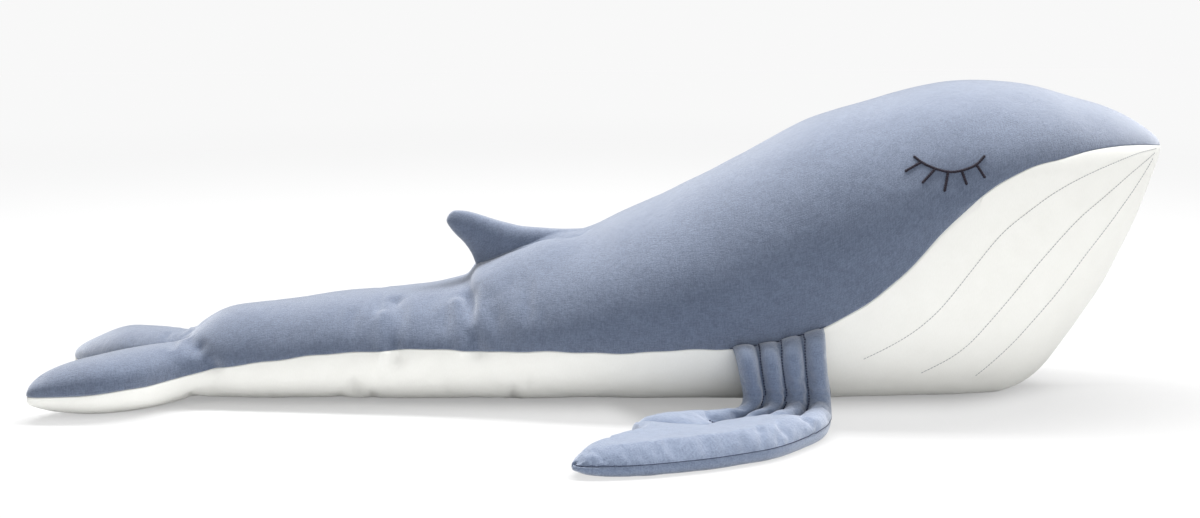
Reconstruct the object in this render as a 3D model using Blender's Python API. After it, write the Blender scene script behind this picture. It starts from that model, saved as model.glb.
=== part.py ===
"""A plush whale lying on its belly: sewn panels over stuffing, a fin, two folded flippers and tail flukes.

Metres, +Z up, snout at +X, the whale's left at +Y, standing on Z = 0.
"""

import math

import bpy
import numpy as np
from mathutils.bvhtree import BVHTree

# Driving sizes of the whole toy
LENGTH = 1.012
HEIGHT = 0.286
HALF_WIDTH = 0.115
FLAT_CUT = 0.0005

# Cloth, and the clearance between two pieces that touch
CLOTH = 0.0016
GAP = 0.0003

# Where the body is divided for its bends, behind the snout as shares of the length
WAIST_FRONT_SHARE = 0.6008
SWING_SHARE = 0.6334
LIFT_SHARE = 0.6976
WAIST_BACK_SHARE = 0.7302
CREASE_FRONT_SHARE = 0.8340
FLAP_SHARE = 0.8498
CREASE_BACK_SHARE = 0.8656
WAIST_LIFT = 0.001

# Columns of the mesh along each stretch, and rows across a panel
TORSO_COLUMNS = 21
WAIST_COLUMNS = 6
TAIL_COLUMNS = 5
CREASE_COLUMNS = 3
BACK_ROWS = 6
BELLY_ROWS = 5

# The body's stations: length behind the snout, back, half width, seam and keel as shares of the sizes
# above, the fullness of the section under its widest point (a power: 2 is an ellipse), and that point's
# height as a share of the way from keel to back
BODY_SHARES = (
    (0.8794, 0.217, 0.360, 0.105, 0.028, 2.20, 0.46),
    (0.8656, 0.238, 0.378, 0.119, 0.015, 2.20, 0.46),
    (0.8340, 0.290, 0.409, 0.143, 0.003, 2.20, 0.46),
    (0.7905, 0.313, 0.452, 0.163, 0.000, 2.20, 0.46),
    (0.7312, 0.339, 0.526, 0.185, 0.000, 2.20, 0.47),
    (0.6719, 0.355, 0.600, 0.205, 0.000, 2.20, 0.48),
    (0.6225, 0.385, 0.670, 0.206, 0.000, 2.25, 0.48),
    (0.5731, 0.448, 0.757, 0.206, 0.000, 2.30, 0.47),
    (0.5138, 0.528, 0.843, 0.206, 0.000, 2.30, 0.46),
    (0.4447, 0.647, 0.922, 0.217, 0.000, 2.40, 0.46),
    (0.3755, 0.776, 0.970, 0.234, 0.000, 2.60, 0.47),
    (0.3162, 0.881, 0.991, 0.290, 0.000, 2.80, 0.51),
    (0.2569, 0.944, 1.000, 0.423, 0.000, 2.90, 0.58),
    (0.2174, 0.979, 0.996, 0.560, 0.000, 2.90, 0.64),
    (0.1828, 0.995, 0.978, 0.683, 0.000, 2.90, 0.69),
    (0.1482, 0.993, 0.930, 0.753, 0.000, 2.80, 0.73),
    (0.1136, 0.976, 0.857, 0.785, 0.052, 2.60, 0.74),
    (0.0840, 0.937, 0.765, 0.806, 0.182, 2.45, 0.74),
    (0.0543, 0.909, 0.635, 0.813, 0.337, 2.30, 0.73),
    (0.0316, 0.879, 0.500, 0.811, 0.497, 2.20, 0.70),
    (0.0148, 0.844, 0.357, 0.804, 0.652, 2.10, 0.66),
    (0.0049, 0.820, 0.204, 0.797, 0.736, 2.00, 0.60),
    (0.0008, 0.802, 0.078, 0.792, 0.778, 2.00, 0.52),
    (0.0000, 0.796, 0.014, 0.791, 0.788, 2.00, 0.50),
)
KEEL_STRIP_ANGLE = 0.10  # half of the strip along the keel where it is off the floor, in radians
BACK_POWER = 2.0  # fullness of the section above its widest point

# Dorsal fin: where it stands on the back as shares of the length, its height, half thickness and rounded foot
FIN_FRONT_SHARE = 0.5138
FIN_BACK_SHARE = 0.6245
FIN_HEIGHT = 0.0600
FIN_THICKNESS = 0.0115
FIN_FOOT_RADIUS = 0.0095
FIN_EDGE = 0.0019
# height share, leading and trailing edge as shares of the seat's length, thickness share
FIN_SHARES = (
    (0.000, 0.060, 0.895, 1.00),
    (0.050, 0.080, 0.890, 1.00),
    (0.160, 0.190, 0.885, 1.00),
    (0.290, 0.335, 0.885, 1.00),
    (0.410, 0.450, 0.895, 0.97),
    (0.540, 0.550, 0.915, 0.92),
    (0.660, 0.630, 0.940, 0.84),
    (0.790, 0.710, 0.960, 0.72),
    (0.900, 0.780, 0.968, 0.55),
    (0.965, 0.832, 0.948, 0.38),
    (1.000, 0.870, 0.920, 0.22),
)
FIN_ROWS = 9
FIN_PEAK_SHARE = 0.55

# Flukes: each lobe runs back and out from the crease to its tip
FLUKE_LENGTH = 0.136
FLUKE_HALF_SPAN = 0.092
FLUKE_HEIGHT = 0.068
FLUKE_EDGE = 0.0024
FLUKE_ROWS = 9
FLUKE_LIFT = 0.0004
FLUKE_SLACK = 0.0009
# along the length; inner edge, outer edge of the half span; place of the crown across; seam, top and bottom
# of the height; how far the lobes are one at the middle
FLUKE_SHARES = (
    (0.00, 0.000, 0.472, 0.000, 0.50, 1.00, 0.063, 1.00),
    (0.08, 0.000, 0.580, 0.060, 0.46, 0.95, 0.050, 0.92),
    (0.17, 0.000, 0.700, 0.200, 0.43, 0.87, 0.035, 0.50),
    (0.25, 0.030, 0.800, 0.340, 0.41, 0.82, 0.018, 0.00),
    (0.36, 0.100, 0.900, 0.440, 0.39, 0.79, 0.000, 0.00),
    (0.49, 0.190, 0.970, 0.480, 0.37, 0.77, 0.000, 0.00),
    (0.62, 0.290, 1.000, 0.500, 0.35, 0.74, 0.020, 0.00),
    (0.74, 0.400, 1.000, 0.500, 0.34, 0.69, 0.050, 0.00),
    (0.85, 0.520, 0.995, 0.500, 0.335, 0.62, 0.090, 0.00),
    (0.93, 0.640, 0.985, 0.500, 0.33, 0.54, 0.140, 0.00),
    (0.98, 0.755, 0.965, 0.500, 0.33, 0.46, 0.190, 0.00),
    (1.00, 0.840, 0.935, 0.500, 0.33, 0.39, 0.240, 0.00),
)
FLUKE_JOINED = 3  # stations whose lobes meet at the middle
FLUKE_INSET_SHARE = 0.5  # how far the stuffing stays from a lobe's edge, of one row

# Flippers: sewn into the side seam, hanging to the floor and folding outwards there. Their seam's ends are
# shares of the length behind the snout, and they hang clear of the body's widest part
FLIPPER_BACK_SHARE = 0.3982
FLIPPER_FRONT_SHARE = 0.3202
FLIPPER_LOW_SHIFT = 0.009
FLIPPER_HANG_CLEAR = 0.0040
FLIPPER_ROOT_GAP = 0.0009
FLIPPER_HINGE_OUT = 0.0055
FLIPPER_FOLD_RADIUS = 0.018
FLIPPER_OVER = 0.0108
FLIPPER_UNDER = 0.0072
FLIPPER_EDGE = 0.0019
FLIPPER_LIFT = 0.0004
FLIPPER_FINGERS = 4
FINGER_ROWS = 3
CHANNEL_SHARE = 0.42
ROOT_SWELL_SHARE = 0.40
ARM_COLUMNS = 4
FOLD_COLUMNS = 4
BLADE_LENGTH = 0.229
BLADE_REACH = 0.138
# leading x, y, trailing x, y and thickness; x is behind the fold's front corner, y out from the fold
BLADE_SHARES = (
    (0.000, 0.000, 0.339, 0.000, 1.00),
    (0.040, 0.215, 0.440, 0.006, 1.00),
    (0.152, 0.405, 0.561, 0.030, 1.00),
    (0.261, 0.535, 0.665, 0.070, 1.00),
    (0.391, 0.665, 0.738, 0.150, 1.00),
    (0.526, 0.785, 0.768, 0.272, 1.00),
    (0.657, 0.875, 0.744, 0.392, 1.00),
    (0.763, 0.935, 0.830, 0.530, 0.96),
    (0.857, 0.980, 0.926, 0.680, 0.86),
    (0.930, 1.000, 0.974, 0.815, 0.66),
    (0.978, 0.985, 1.000, 0.905, 0.34),
)

# Closed eyes: a thread arc with five lashes, in (x, z) seen from the side. Their places are shares of the
# body's length and height
EYE_THREAD = 0.0023
EYE_RAISE = 0.0011
EYE_LASH_POINTS = 6
EYE_LASH_TAPER_SHARE = 0.35
EYE_COLUMN_THREADS = 3
EYE_SEAT = 0.0005
EYE_BEHIND_SHARE = 0.2390  # of the length, from the snout to the back of the arc
EYE_WIDTH_SHARE = 0.0569  # of the length
EYE_HEIGHT_SHARE = 0.7608  # of the height, as the drop is
EYE_DROP_SHARE = 0.0420
EYE_ARC_SHARES = (
    (0.00, 0.92),
    (0.09, 0.60),
    (0.20, 0.34),
    (0.34, 0.11),
    (0.48, -0.01),
    (0.62, 0.05),
    (0.76, 0.24),
    (0.89, 0.54),
    (1.00, 1.02),
)
# a lash: share along the arc, then its end as shares of the eye's width and drop
EYE_LASH_SHARES = (
    (0.09, -0.13, 0.02),
    (0.28, 0.09, -0.71),
    (0.46, 0.40, -1.23),
    (0.66, 0.72, -0.75),
    (0.88, 0.99, -0.31),
)

# Colours: base colour, roughness
BLUE = ((0.20, 0.25, 0.37, 1.0), 0.95)
PALE_BLUE = ((0.30, 0.36, 0.50, 1.0), 0.95)
WHITE = ((0.84, 0.84, 0.81, 1.0), 0.90)
THREAD = ((0.016, 0.014, 0.030, 1.0), 0.70)
STUFFING = ((0.92, 0.92, 0.90, 1.0), 1.0)

SIDES = {"left": 1, "right": -1}


def behind(share):
    """The x of a place behind the snout, from its share of the length."""
    return LENGTH / 2 - share * LENGTH


WAIST_FRONT = behind(WAIST_FRONT_SHARE)
SWING_X = behind(SWING_SHARE)
LIFT_X = behind(LIFT_SHARE)
WAIST_BACK = behind(WAIST_BACK_SHARE)
CREASE_FRONT = behind(CREASE_FRONT_SHARE)
FLAP_X = behind(FLAP_SHARE)
CREASE_BACK = behind(CREASE_BACK_SHARE)
FIN_FRONT_X = behind(FIN_FRONT_SHARE)
FIN_BACK_X = behind(FIN_BACK_SHARE)
FLIPPER_BACK_X = behind(FLIPPER_BACK_SHARE)
FLIPPER_FRONT_X = behind(FLIPPER_FRONT_SHARE)
FLIPPER_HANG_Y = HALF_WIDTH + FLIPPER_HANG_CLEAR


def clear_scene():
    for old in list(bpy.data.objects):
        bpy.data.objects.remove(old, do_unlink=True)


def material(name, look):
    """A Principled material of its own for each piece."""
    colour, roughness = look
    made = bpy.data.materials.new(name)
    made.use_nodes = True
    made.diffuse_color = colour
    shader = made.node_tree.nodes["Principled BSDF"]
    shader.inputs["Base Color"].default_value = colour
    shader.inputs["Roughness"].default_value = roughness
    shader.inputs["Metallic"].default_value = 0.0
    return made


def add_object(name, points, faces, look, pivot=None):
    """A mesh object whose origin is its body's hinge, or zero."""
    origin = np.zeros(3) if pivot is None else np.array(pivot.location)
    mesh = bpy.data.meshes.new(name)
    mesh.from_pydata([tuple(np.asarray(p) - origin) for p in points], [], faces)
    mesh.validate()
    mesh.materials.append(material(name, look))
    mesh.shade_smooth()
    made = bpy.data.objects.new(name, mesh)
    bpy.context.collection.objects.link(made)
    if pivot is not None:
        made.parent = pivot
    return made


def pivot_at(name, place):
    """An empty on a hinge's axis."""
    made = bpy.data.objects.new(name, None)
    made.location = place
    bpy.context.collection.objects.link(made)
    return made


def smooth(stations, at):
    """The row of a table at a share (0 to 1) of its stations, on a smooth curve through them."""
    table = np.asarray(stations, float)
    place = at * (len(table) - 1)
    low = min(int(place), len(table) - 2)
    share = place - low
    before, start = table[max(low - 1, 0)], table[low]
    end, after = table[low + 1], table[min(low + 2, len(table) - 1)]
    out = (end - before) / 2
    into = (after - start) / 2
    swing = share * share * (3 - 2 * share)
    return (
        start * (1 - swing)
        + end * swing
        + out * share * (1 - share) ** 2
        - into * share**2 * (1 - share)
    )


def triangles(columns, rows, rising=True):
    """Triangles of a grid of points listed column by column, their long edges rising or falling."""
    faces = []
    for i in range(columns - 1):
        for j in range(rows - 1):
            a = i * rows + j
            b = a + rows
            if rising:
                faces += [(a, b, b + 1), (a, b + 1, a + 1)]
            else:
                faces += [(a, b, a + 1), (b, b + 1, a + 1)]
    return faces


def between(front, back, faces):
    """Points and faces of the closed solid between two surfaces that share their faces."""
    count = len(front)
    edges = {}
    for face in faces:
        for a, b in zip(face, face[1:] + face[:1]):
            if (b, a) in edges:
                del edges[(b, a)]
            else:
                edges[(a, b)] = True
    closed = list(faces) + [tuple(i + count for i in reversed(face)) for face in faces]
    for a, b in edges:
        closed += [(b, a, a + count), (b, a + count, b + count)]
    return list(front) + list(back), closed


def flipped(faces, flip):
    """The faces turned over when flip is true."""
    return [tuple(reversed(face)) for face in faces] if flip else list(faces)


# The body's surface


def station(along):
    """x, back, half width, seam, keel, fullness and widest height at a share (0 tail, 1 snout) of the stations."""
    from_snout, back, wide, seam, keel, fullness, widest = smooth(BODY_SHARES, along)
    back *= HEIGHT
    keel = max(keel, 0) * HEIGHT
    if keel < FLAT_CUT:
        keel -= FLAT_CUT - keel
    widest = keel + widest * (back - keel)
    return behind(from_snout), back, max(wide, 0) * HALF_WIDTH, seam * HEIGHT, keel, fullness, widest


def along_at(x):
    """The share of the body's stations where the body has this x."""
    low, high = 0.0, 1.0
    for _ in range(50):
        middle = (low + high) / 2
        if station(middle)[0] < x:
            low = middle
        else:
            high = middle
    return (low + high) / 2


def lift_height(x):
    """Half way up the body, where it bends up and down."""
    _, back, _, _, keel, _, _ = station(along_at(x))
    return (back + keel) / 2


def body_point(along, angle, side):
    """A point of the skin: angle 0 is the keel, half a turn the middle of the back."""
    x, back, wide, _, keel, fullness, widest = station(along)
    rise, out = -math.cos(angle), math.sin(angle)
    if rise < 0:
        power = 2 / fullness
        z = widest - (widest - keel) * (-rise) ** power
    else:
        power = 2 / BACK_POWER
        z = widest + (back - widest) * rise**power
    return np.array((x, side * wide * max(out, 0) ** power, max(z, 0)))


def body_inward(along, angle, side):
    """The unit normal pointing into the body."""
    step = 1e-4
    span = body_point(min(along + step, 1), angle, side) - body_point(max(along - step, 0), angle, side)
    low, high = max(angle - step, 0), min(angle + step, math.pi)
    girth = body_point(along, high, side) - body_point(along, low, side)
    normal = np.cross(span, girth) * side
    length = np.linalg.norm(normal)
    if length == 0:
        return np.array((0.0, 0.0, 1.0))
    return normal / length


def seam_angle(along):
    """The angle of the seam between blue and white."""
    seam = station(along)[3]
    low, high = 0.0, math.pi
    for _ in range(40):
        middle = (low + high) / 2
        if body_point(along, middle, 1)[2] < seam:
            low = middle
        else:
            high = middle
    return (low + high) / 2


def flat_angle(along):
    """The angle where the flat under the belly ends."""
    _, _, _, _, keel, fullness, widest = station(along)
    if keel >= 0:
        return KEEL_STRIP_ANGLE
    return math.acos((widest / (widest - keel)) ** (fullness / 2))


def angle_for(along, angle, distance):
    """The change of angle that moves a point this far round the section."""
    step = 1e-3
    moved = body_point(along, angle + step, 1) - body_point(along, angle - step, 1)
    return distance * 2 * step / max(np.linalg.norm(moved), step * GAP)


def column_places(x_from, x_to, columns):
    """Shares along the body between two x, spread evenly over the stations' curve."""
    first, last = along_at(x_from), along_at(x_to)
    return [first + (last - first) * i / (columns - 1) for i in range(columns)]


def back_surface(places, side, depth):
    """A side panel's surface, from its seam up to the middle of the back."""
    points = []
    for along in places:
        seam = seam_angle(along)
        low = seam + angle_for(along, seam, GAP / 2)
        for j in range(BACK_ROWS + 1):
            angle = low + (math.pi - low) * j / BACK_ROWS
            point = body_point(along, angle, side) + depth * body_inward(along, angle, side)
            point[1] = side * max(side * point[1], GAP / 2)
            points.append(point)
    return points


def belly_surface(places, depth):
    """The belly panel's surface, from the right seam under the keel to the left one."""
    points = []
    for along in places:
        seam = seam_angle(along)
        high = seam - angle_for(along, seam, GAP / 2)
        flat = min(flat_angle(along), high / 2)
        half = [flat + (high - flat) * j / BELLY_ROWS for j in range(BELLY_ROWS + 1)]
        turns = [(-1, angle) for angle in reversed(half)] + [(1, 0.0)] + [(1, angle) for angle in half]
        for side, angle in turns:
            points.append(body_point(along, angle, side) + depth * body_inward(along, angle, side))
    return points


def lifted(points, height):
    """Points raised clear of the floor under a bend."""
    return [np.array((p[0], p[1], max(p[2], height))) for p in points]


def side_panel(name, places, side, pivot, clear_of=0.0):
    outer = lifted(back_surface(places, side, 0), clear_of)
    inner = lifted(back_surface(places, side, CLOTH), clear_of)
    faces = flipped(triangles(len(places), BACK_ROWS + 1, side > 0), side > 0)
    points, closed = between(outer, inner, faces)
    return add_object(name, points, closed, BLUE, pivot)


def belly_panel(name, places, pivot, clear_of=0.0):
    rows = 2 * BELLY_ROWS + 3
    outer = lifted(belly_surface(places, 0), clear_of)
    inner = lifted(belly_surface(places, CLOTH), clear_of + CLOTH)
    faces = flipped(triangles(len(places), rows), True)
    points, closed = between(outer, inner, faces)
    return add_object(name, points, closed, WHITE, pivot)


def body_stuffing(name, places, pivot, clear_of=0.0):
    """Stuffing inside the panels: a closed tube of rings, one gap inside the cloth."""
    depth = CLOTH + GAP
    rings = []
    for along in places:
        seam = seam_angle(along)
        flat = min(flat_angle(along), seam / 2)
        half = [flat + (seam - flat) * j / BELLY_ROWS for j in range(BELLY_ROWS + 1)]
        half += [seam + (math.pi - seam) * j / BACK_ROWS for j in range(1, BACK_ROWS + 1)]
        turns = [(-1, angle) for angle in reversed(half[:-1])] + [(1, 0.0)] + [(1, angle) for angle in half]
        ring = []
        for side, angle in turns:
            ring.append(body_point(along, angle, side) + depth * body_inward(along, angle, side))
        rings.append(lifted(ring, clear_of + depth))
    points = [point for ring in rings for point in ring]
    size = len(rings[0])
    faces = []
    for i in range(len(rings) - 1):
        for j in range(size):
            a, b = i * size + j, i * size + (j + 1) % size
            faces += [(a, b + size, a + size), (a, b, b + size)]
    for ring, flip in ((0, True), (len(rings) - 1, False)):
        centre = len(points)
        points.append(np.mean(rings[ring], axis=0))
        for j in range(size):
            cap = (ring * size + j, ring * size + (j + 1) % size, centre)
            faces.append(tuple(reversed(cap)) if flip else cap)
    return add_object(name, points, faces, STUFFING, pivot)


def body_stretch(prefix, x_from, x_to, columns, pivot, clear_of=0.0, nose=False):
    """The two side panels, the belly panel and the stuffing of one stretch of the body."""
    places = column_places(x_from, x_to, columns)
    for label, side in SIDES.items():
        side_panel(f"{prefix}side_panel_{label}", places, side, pivot, clear_of)
    belly_panel(f"{prefix}belly_panel", places, pivot, clear_of)
    inside = places[:-1] if nose else places
    body_stuffing(f"{prefix}stuffing", inside, pivot, clear_of)


# Eyes


def side_place(cloth, x, z, side):
    """The place on a panel's cloth that is seen from the side at x and z, and the way out of it."""
    start = (x, side * HALF_WIDTH * 2, z)
    place, outward, _, _ = cloth.ray_cast(start, (0, -side, 0))
    return np.array(place), np.array(outward)


def eye_place(shares):
    """A place of the eye, seen from the side, from shares of its width and drop."""
    x_share = EYE_BEHIND_SHARE - EYE_WIDTH_SHARE * shares[0]
    z_share = EYE_HEIGHT_SHARE + EYE_DROP_SHARE * shares[1]
    return np.array((behind(x_share), z_share * HEIGHT))


def arc_place(x_share):
    """The middle of the arc's thread at a share of the eye's width."""
    arc_x = [x for x, _ in EYE_ARC_SHARES]
    return eye_place(smooth(EYE_ARC_SHARES, np.interp(x_share, arc_x, np.linspace(0, 1, len(arc_x)))))


def across_thread(ahead):
    """Half the thread's width, square to the way it runs."""
    return np.array((-ahead[1], ahead[0])) / np.linalg.norm(ahead) * EYE_THREAD / 2


def eye_outline():
    """Places (x, z) and faces of the arc with its lashes, which grow out of its lower edge."""
    half = EYE_THREAD / (EYE_WIDTH_SHARE * LENGTH) / 2
    starts = [start for start, _, _ in EYE_LASH_SHARES]
    ends = [start + side * half for start in starts for side in (-1, 1)]
    edges = sorted([0.0, 1.0] + ends)
    columns = list(edges)
    for low, high in zip(edges, edges[1:]):
        count = round((high - low) / (half * EYE_COLUMN_THREADS))
        columns += list(np.linspace(low, high, count + 1)[1:-1])
    columns.sort()
    places = []
    for x_share in columns:
        ahead = arc_place(min(x_share + half, 1)) - arc_place(max(x_share - half, 0))
        places += [arc_place(x_share) + across_thread(ahead), arc_place(x_share) - across_thread(ahead)]
    faces = triangles(len(columns), 2)
    for start, end_x, end_z in EYE_LASH_SHARES:
        column = columns.index(start - half)
        left, right = column * 2 + 1, column * 2 + 3
        root, tip = (places[left] + places[right]) / 2, eye_place((end_x, end_z))
        for down in np.linspace(0, 1, EYE_LASH_POINTS)[1:]:
            across = across_thread(root - tip) * (1 - down * EYE_LASH_TAPER_SHARE)
            middle = root + (tip - root) * down
            places += [middle + across, middle - across]
            if (places[-2] - places[-1])[0] > 0:
                places[-2:] = [places[-1], places[-2]]
            low_left, low_right = len(places) - 2, len(places) - 1
            faces += [(left, right, low_right), (left, low_right, low_left)]
            left, right = low_left, low_right
    return places, faces


def eye(label, side, panel, pivot):
    """One embroidered eye, raised off the cloth that it lies on."""
    corners = [vertex.co for vertex in panel.data.vertices]
    cloth = BVHTree.FromPolygons(corners, [face.vertices for face in panel.data.polygons])
    places, faces = eye_outline()
    points, ways = zip(*(side_place(cloth, x, z, side) for x, z in places))
    outward = np.mean(ways, axis=0)
    outward /= np.linalg.norm(outward)
    front = [point + outward * (EYE_SEAT + EYE_RAISE) for point in points]
    back = [point + outward * EYE_SEAT for point in points]
    return add_object(f"eye_{label}", *between(front, back, flipped(faces, side < 0)), THREAD, pivot)


# Padded shapes whose two covers meet in an edge seam: fin, flukes and flippers


def crown(share, peak):
    """A pad's thickness across: 1 at its peak and 0 at both edges."""
    away = (peak - share) / peak if share < peak else (share - peak) / (1 - peak)
    return math.sqrt(max(1 - away * away, 0))


def raised(sheet, heights):
    """Points over a sheet of (point, normal)."""
    return [point + normal * height for (point, normal), height in zip(sheet, heights)]


def cover(name, sheet, heights, faces, sign, look, pivot):
    """A cloth cover on one side of a sheet, down to its half of the edge seam's gap."""
    inner = [sign * max(h - CLOTH, GAP / 2) for h in heights]
    outer = [sign * h for h in heights]
    solid = between(raised(sheet, outer), raised(sheet, inner), flipped(faces, sign < 0))
    return add_object(name, *solid, look, pivot)


def filling(name, sheet, over, under, faces, clearance, pivot):
    """The stuffing between two covers."""
    inset = CLOTH + clearance
    top = raised(sheet, [max(h - inset, GAP / 2) for h in over])
    bottom = raised(sheet, [-max(h - inset, GAP / 2) for h in under])
    return add_object(name, *between(top, bottom, faces), STUFFING, pivot)


def pad(names, sheet, rows, over, under, looks, pivot, flip):
    """The upper cover, lower cover and stuffing of a pad on a grid of the given rows."""
    columns = len(sheet) // rows
    faces = flipped(triangles(columns, rows), flip)
    cover(names[0], sheet, over, faces, 1, looks[0], pivot)
    cover(names[1], sheet, under, faces, -1, looks[1], pivot)
    inside = [i * rows + j for i in range(columns) for j in range(1, rows - 1)]
    filling(
        names[2],
        [sheet[k] for k in inside],
        [over[k] for k in inside],
        [under[k] for k in inside],
        flipped(triangles(columns, rows - 2), flip),
        GAP,
        pivot,
    )


# Dorsal fin


def back_point(x):
    return body_point(along_at(x), math.pi, 1)


def fin_axis():
    """The fin's hinge line: its front point, the unit vector back along it and the one up from it."""
    front, end = back_point(FIN_FRONT_X), back_point(FIN_BACK_X)
    back = (end - front) / np.linalg.norm(end - front)
    up = np.array((back[2], 0.0, -back[0]))
    steps = np.linspace(FIN_FRONT_X, FIN_BACK_X, FIN_ROWS * 2)
    bulge = max(float((back_point(x) - front) @ up) for x in steps)
    return front + up * (bulge + GAP + FIN_FOOT_RADIUS), back, up


def dorsal_fin(pivot):
    """A swept fin on a rounded foot, which rolls on the middle of the back."""
    axis, back, up = fin_axis()
    seat = np.linalg.norm(back_point(FIN_BACK_X) - back_point(FIN_FRONT_X))
    sheet, heights = [], []
    for height, lead, trail, thickness in FIN_SHARES:
        above = height * FIN_HEIGHT - FIN_FOOT_RADIUS
        half = thickness * FIN_THICKNESS
        if above < 0:
            half = math.sqrt(max(FIN_FOOT_RADIUS**2 - above**2, 0))
        for j in range(FIN_ROWS):
            across = j / (FIN_ROWS - 1)
            along = (lead + (trail - lead) * across) * seat
            sheet.append((axis + back * along + up * above, np.array((0.0, 1.0, 0.0))))
            heights.append(FIN_EDGE + max(half - FIN_EDGE, 0) * crown(across, FIN_PEAK_SHARE))
    names = ("fin_panel_left", "fin_panel_right", "fin_stuffing")
    pad(names, sheet, FIN_ROWS, heights, heights, (BLUE, BLUE), pivot, True)


# Tail flukes


def fluke_grid(side):
    """One lobe's sheet with its heights over and under the edge seam."""
    sheet, over, under = [], [], []
    for along, inner, outer, peak, seam, top, bottom, joined in FLUKE_SHARES:
        seam_z = seam * FLUKE_HEIGHT
        above = top * FLUKE_HEIGHT - seam_z
        below = seam_z - max(bottom * FLUKE_HEIGHT, FLUKE_LIFT)
        for j in range(FLUKE_ROWS):
            across = j / (FLUKE_ROWS - 1)
            y = (inner + (outer - inner) * across) * FLUKE_HALF_SPAN
            full = crown(across, peak)
            if across < peak:
                full = joined + (1 - joined) * full
            x = CREASE_BACK - GAP - along * FLUKE_LENGTH
            sheet.append((np.array((x, side * y, seam_z)), np.array((0.0, 0.0, 1.0))))
            over.append(FLUKE_EDGE + (above - FLUKE_EDGE) * full)
            under.append(FLUKE_EDGE + (below - FLUKE_EDGE) * full)
    return sheet, over, under


def fluke_inside():
    """Both lobes as one forked grid, with their edges drawn in by a share of one row."""
    places, sheet, over, under, faces = {}, [], [], [], []
    for side in SIDES.values():
        lobe, above, below = fluke_grid(side)
        used = []
        for i in range(len(FLUKE_SHARES)):
            for j in range(FLUKE_ROWS):
                here = i * FLUKE_ROWS + j
                toward, share = here, 0.0
                if j == FLUKE_ROWS - 1:
                    toward, share = here - 1, FLUKE_INSET_SHARE
                if j == 0 and i >= FLUKE_JOINED:
                    toward, share = here + 1, FLUKE_INSET_SHARE
                middle = j == 0 and i < FLUKE_JOINED
                key = (i,) if middle else (i, j, side)
                if key not in places:
                    places[key] = len(sheet)
                    point = lobe[here][0] * (1 - share) + lobe[toward][0] * share
                    sheet.append((point, lobe[here][1]))
                    over.append(above[here] * (1 - share) + above[toward] * share)
                    under.append(below[here] * (1 - share) + below[toward] * share)
                used.append(places[key])
        lobe_faces = flipped(triangles(len(FLUKE_SHARES), FLUKE_ROWS), side > 0)
        faces += [tuple(used[k] for k in face) for face in lobe_faces]
    return sheet, over, under, faces


def flukes(pivot):
    """A blue upper cover and a white under cover for each lobe, and the stuffing of both."""
    for label, side in SIDES.items():
        sheet, over, under = fluke_grid(side)
        apart = [(np.array((p[0], side * max(side * p[1], GAP / 2), p[2])), n) for p, n in sheet]
        faces = flipped(triangles(len(FLUKE_SHARES), FLUKE_ROWS), side > 0)
        cover(f"fluke_top_panel_{label}", apart, over, faces, 1, BLUE, pivot)
        cover(f"fluke_under_panel_{label}", apart, under, faces, -1, WHITE, pivot)
    sheet, over, under, faces = fluke_inside()
    filling("fluke_stuffing", sheet, over, under, faces, FLUKE_SLACK, pivot)


# Flippers


def sheet_height():
    """The height of a flipper's middle sheet where it lies on the floor."""
    return FLIPPER_UNDER + FLIPPER_LIFT


def root_point(x, side):
    """The place on the side seam where a flipper is sewn in."""
    along = along_at(x)
    return body_point(along, seam_angle(along), side)


def swing_place(side):
    """The back end of the line that a flipper lifts about, just outside its seam."""
    return root_point(FLIPPER_BACK_X, side) + np.array((0.0, side * FLIPPER_HINGE_OUT, 0.0))


def finger_heights(thickness):
    """Heights over and under the sheet across the fingers, drawn in along each channel."""
    over, under = [], []
    rows = FLIPPER_FINGERS * FINGER_ROWS
    for j in range(rows + 1):
        full = 1.0
        if j % FINGER_ROWS == 0:
            full = 1 - CHANNEL_SHARE
        if j in (0, rows):
            full = 0.0
        over.append(FLIPPER_EDGE + (FLIPPER_OVER - FLIPPER_EDGE) * full * thickness)
        under.append(FLIPPER_EDGE + (FLIPPER_UNDER - FLIPPER_EDGE) * full * thickness)
    return over, under


def across_shares():
    rows = FLIPPER_FINGERS * FINGER_ROWS
    return [j / rows for j in range(rows + 1)]


def arm_sheet(side):
    """The hanging stretch: out of the seam, round a small bend and straight down to the fold."""
    sheet, over, under = [], [], []
    fold_top = sheet_height() + FLIPPER_FOLD_RADIUS + GAP
    for i in range(ARM_COLUMNS):
        down = i / (ARM_COLUMNS - 1)
        for across in across_shares():
            x_root = FLIPPER_BACK_X + (FLIPPER_FRONT_X - FLIPPER_BACK_X) * across
            _, root_y, root_z = root_point(x_root, side)
            start = abs(root_y) + FLIPPER_ROOT_GAP
            bend = FLIPPER_HANG_Y - start
            curve = bend * math.pi / 2
            straight = root_z - bend - fold_top
            run = (curve + straight) * down
            if run < curve:
                turn = run / bend
                out, z = start + bend * math.sin(turn), root_z - bend * (1 - math.cos(turn))
            else:
                turn = math.pi / 2
                out, z = FLIPPER_HANG_Y, root_z - bend - (run - curve)
            x = x_root + FLIPPER_LOW_SHIFT * down
            normal = np.array((0.0, side * math.sin(turn), math.cos(turn)))
            sheet.append((np.array((x, side * out, z)), normal))
        swell = math.sin(min(down / ROOT_SWELL_SHARE, 1) * math.pi / 2)
        above, below = finger_heights(swell)
        over += above
        under += below
    return sheet, over, under


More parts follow.
